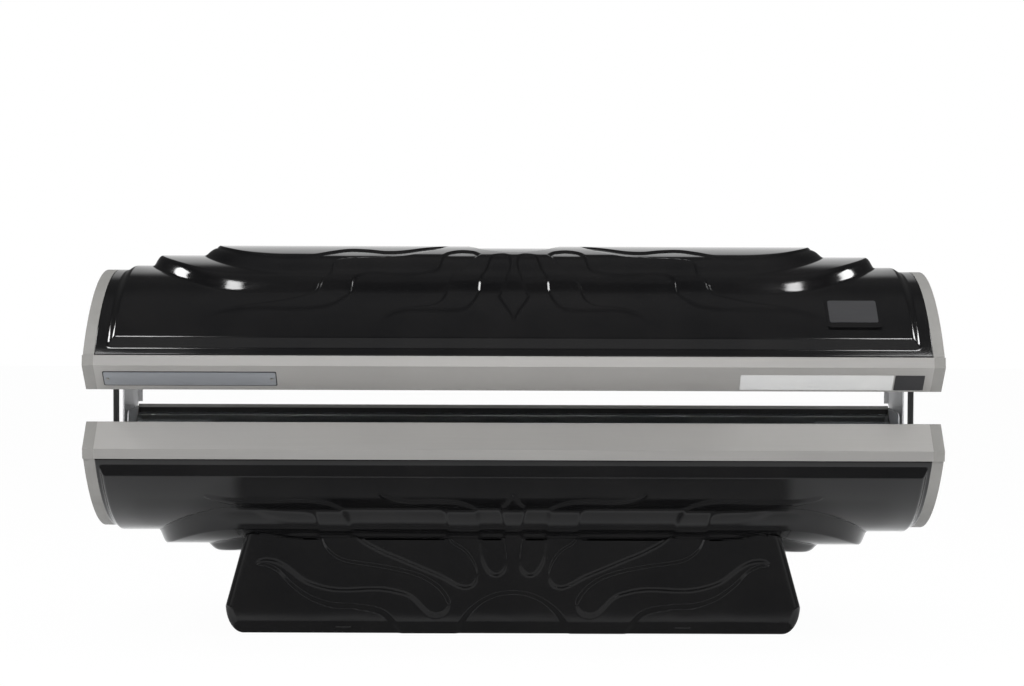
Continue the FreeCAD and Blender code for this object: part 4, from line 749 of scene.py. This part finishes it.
class Stage:
    """Short names for the nodes of the floor and the world."""

    def __init__(self, owner):
        owner.use_nodes = True
        self.tree = owner.node_tree
        self.path = self.tree.nodes.new("ShaderNodeLightPath")

    def math(self, operation, one, two):
        node = self.tree.nodes.new("ShaderNodeMath")
        node.operation = operation
        for socket, value in zip(node.inputs, (one, two)):
            if isinstance(value, (int, float)):
                socket.default_value = value
            else:
                self.tree.links.new(value, socket)
        return node.outputs[0]

    def fade(self, value, low, high):
        node = self.tree.nodes.new("ShaderNodeMapRange")
        node.interpolation_type = "SMOOTHSTEP"
        node.inputs["From Min"].default_value = low
        node.inputs["From Max"].default_value = high
        self.tree.links.new(value, node.inputs["Value"])
        return node.outputs["Result"]

    def axes(self, output):
        place = self.tree.nodes.new("ShaderNodeTexCoord")
        split = self.tree.nodes.new("ShaderNodeSeparateXYZ")
        self.tree.links.new(place.outputs[output], split.inputs[0])
        return split.outputs

    def light(self, kind, colour, strength):
        node = self.tree.nodes.new(kind)
        node.inputs["Color"].default_value = (*colour, 1)
        node.inputs["Strength"].default_value = strength
        return node.outputs[0]

    def mix(self, factor, one, two):
        node = self.tree.nodes.new("ShaderNodeMixShader")
        for socket, value in zip(node.inputs, (factor, one, two)):
            self.tree.links.new(value, socket)
        return node.outputs[0]

    def seen(self):
        """1 for rays from the camera and through clear things."""
        return self.math("MAXIMUM", self.path.outputs["Is Camera Ray"],
                         self.path.outputs["Is Transmission Ray"])

    def glossy(self):
        return self.path.outputs["Is Glossy Ray"]


WHITE = (1.0, 1.0, 1.0)

# The floor is white to the camera and keeps the shadow. In glossy surfaces it is white far
# behind the bed, dark in front of it, and dark under the bed as a painted shadow, with a white
# strip between.
paint = bpy.data.materials.new("floor_white")
stage = Stage(paint)
matte = stage.tree.nodes["Principled BSDF"]
matte.inputs["Base Color"].default_value = (0.92, 0.92, 0.92, 1)
matte.inputs["Roughness"].default_value = 0.9
matte.inputs["Specular IOR Level"].default_value = 0.1
place = stage.axes("Object")
depth = place["Y"]
glow = stage.light("ShaderNodeEmission", WHITE, 1.0)
dim = stage.light("ShaderNodeEmission", WHITE, 0.19)
pale = stage.light("ShaderNodeEmission", WHITE, 0.22)
share = stage.math("MULTIPLY", stage.seen(), FLOOR_GLOW)
far = stage.math("MULTIPLY", stage.glossy(), stage.fade(depth, 0.9, 2.5))
lit = stage.mix(stage.math("MAXIMUM", share, far), matte.outputs[0], glow)
# painted shadow: in glossy surfaces the floor under the bed, within the length of the base,
# takes the dim glow instead of white
aside = stage.fade(stage.math("ABSOLUTE", place["X"], 0.0), 0.785, 0.745)
under = stage.math("MULTIPLY", aside, stage.fade(depth, -0.50, -0.42))
under = stage.math("MULTIPLY", under, stage.fade(depth, 0.50, 0.30))
front = stage.fade(depth, -0.50, -0.60)
front_dark_and_painted_shadow = stage.math("MULTIPLY", stage.glossy(), stage.math("MAXIMUM", front, under))
studio = stage.mix(stage.fade(depth, -1.0, -2.6), dim, pale)
whole = stage.mix(front_dark_and_painted_shadow, lit, studio)
stage.tree.links.new(whole, stage.tree.nodes["Material Output"].inputs[0])
floor_mesh.materials.append(paint)

# The world is white to the camera. Glossy surfaces see a white panel low behind the bed,
# a pale ceiling over it and the dark studio with one wide pale screen in front.
world = bpy.data.worlds.new("studio")
scene.world = world
stage = Stage(world)
ambient = stage.tree.nodes["Background"]
ambient.inputs["Color"].default_value = (0.97, 0.985, 1.0, 1)
ambient.inputs["Strength"].default_value = 0.5
white = stage.light("ShaderNodeBackground", WHITE, 1.0)
dark = stage.light("ShaderNodeBackground", WHITE, 0.07)
ceiling = stage.light("ShaderNodeBackground", WHITE, 0.175)
soft = stage.light("ShaderNodeBackground", WHITE, 0.48)
way = stage.axes("Generated")
wide = stage.fade(stage.math("ABSOLUTE", way["X"], 0.0), 0.20, 0.13)
panel = stage.math("MULTIPLY", stage.fade(way["Y"], 0.76, 0.88), wide)
low = stage.fade(way["Z"], 0.30, 0.05)
high = stage.fade(way["Z"], 0.80, 0.97)
studio = stage.mix(stage.math("MAXIMUM", low, high), dark, ceiling)
screen = stage.math("MULTIPLY", stage.fade(way["Z"], -0.02, 0.04),
                    stage.fade(way["Z"], 0.80, 0.72))
screen = stage.math("MULTIPLY", screen, stage.fade(way["Y"], -0.3, -0.5))
studio = stage.mix(screen, studio, soft)
backdrop = stage.mix(panel, studio, white)
glossy = stage.mix(stage.glossy(), ambient.outputs[0], backdrop)
final = stage.mix(stage.seen(), glossy, white)
stage.tree.links.new(final, stage.tree.nodes["World Output"].inputs[0])


def lamp(name, place, target, width, height, power, glossy=True):
    data = bpy.data.lights.new(name, "AREA")
    data.shape = "RECTANGLE"
    data.size = width
    data.size_y = height
    data.energy = power
    thing = bpy.data.objects.new(name, data)
    thing.location = place
    aim = Vector(target) - Vector(place)
    thing.rotation_euler = aim.to_track_quat("-Z", "Y").to_euler()
    thing.visible_glossy = glossy
    thing.visible_camera = False
    scene.collection.objects.link(thing)


for side, word in ((-1, "left"), (1, "right")):
    lamp("box_" + word, (3.2 * side, 0, 2.9), (0.88 * side, -0.17, 0.96), 0.7, 0.6, 26)
    lamp("bar_" + word, (1.55 * side, -1.74, 3.39), (0.73 * side, -0.24, 0.93), 0.6, 0.35, 13)
lamp("fill_front", (0, -5.5, 2.6), (0, 0, 0.6), 4.0, 1.5, 150, glossy=False)
lamp("fill_low", (0, -5.5, 0.8), (0, 0, 0.62), 4.0, 0.3, 60, glossy=False)
lamp("fill_top", (0, 0.5, 4.2), (0, 0, 0.5), 4.0, 2.0, 60, glossy=False)
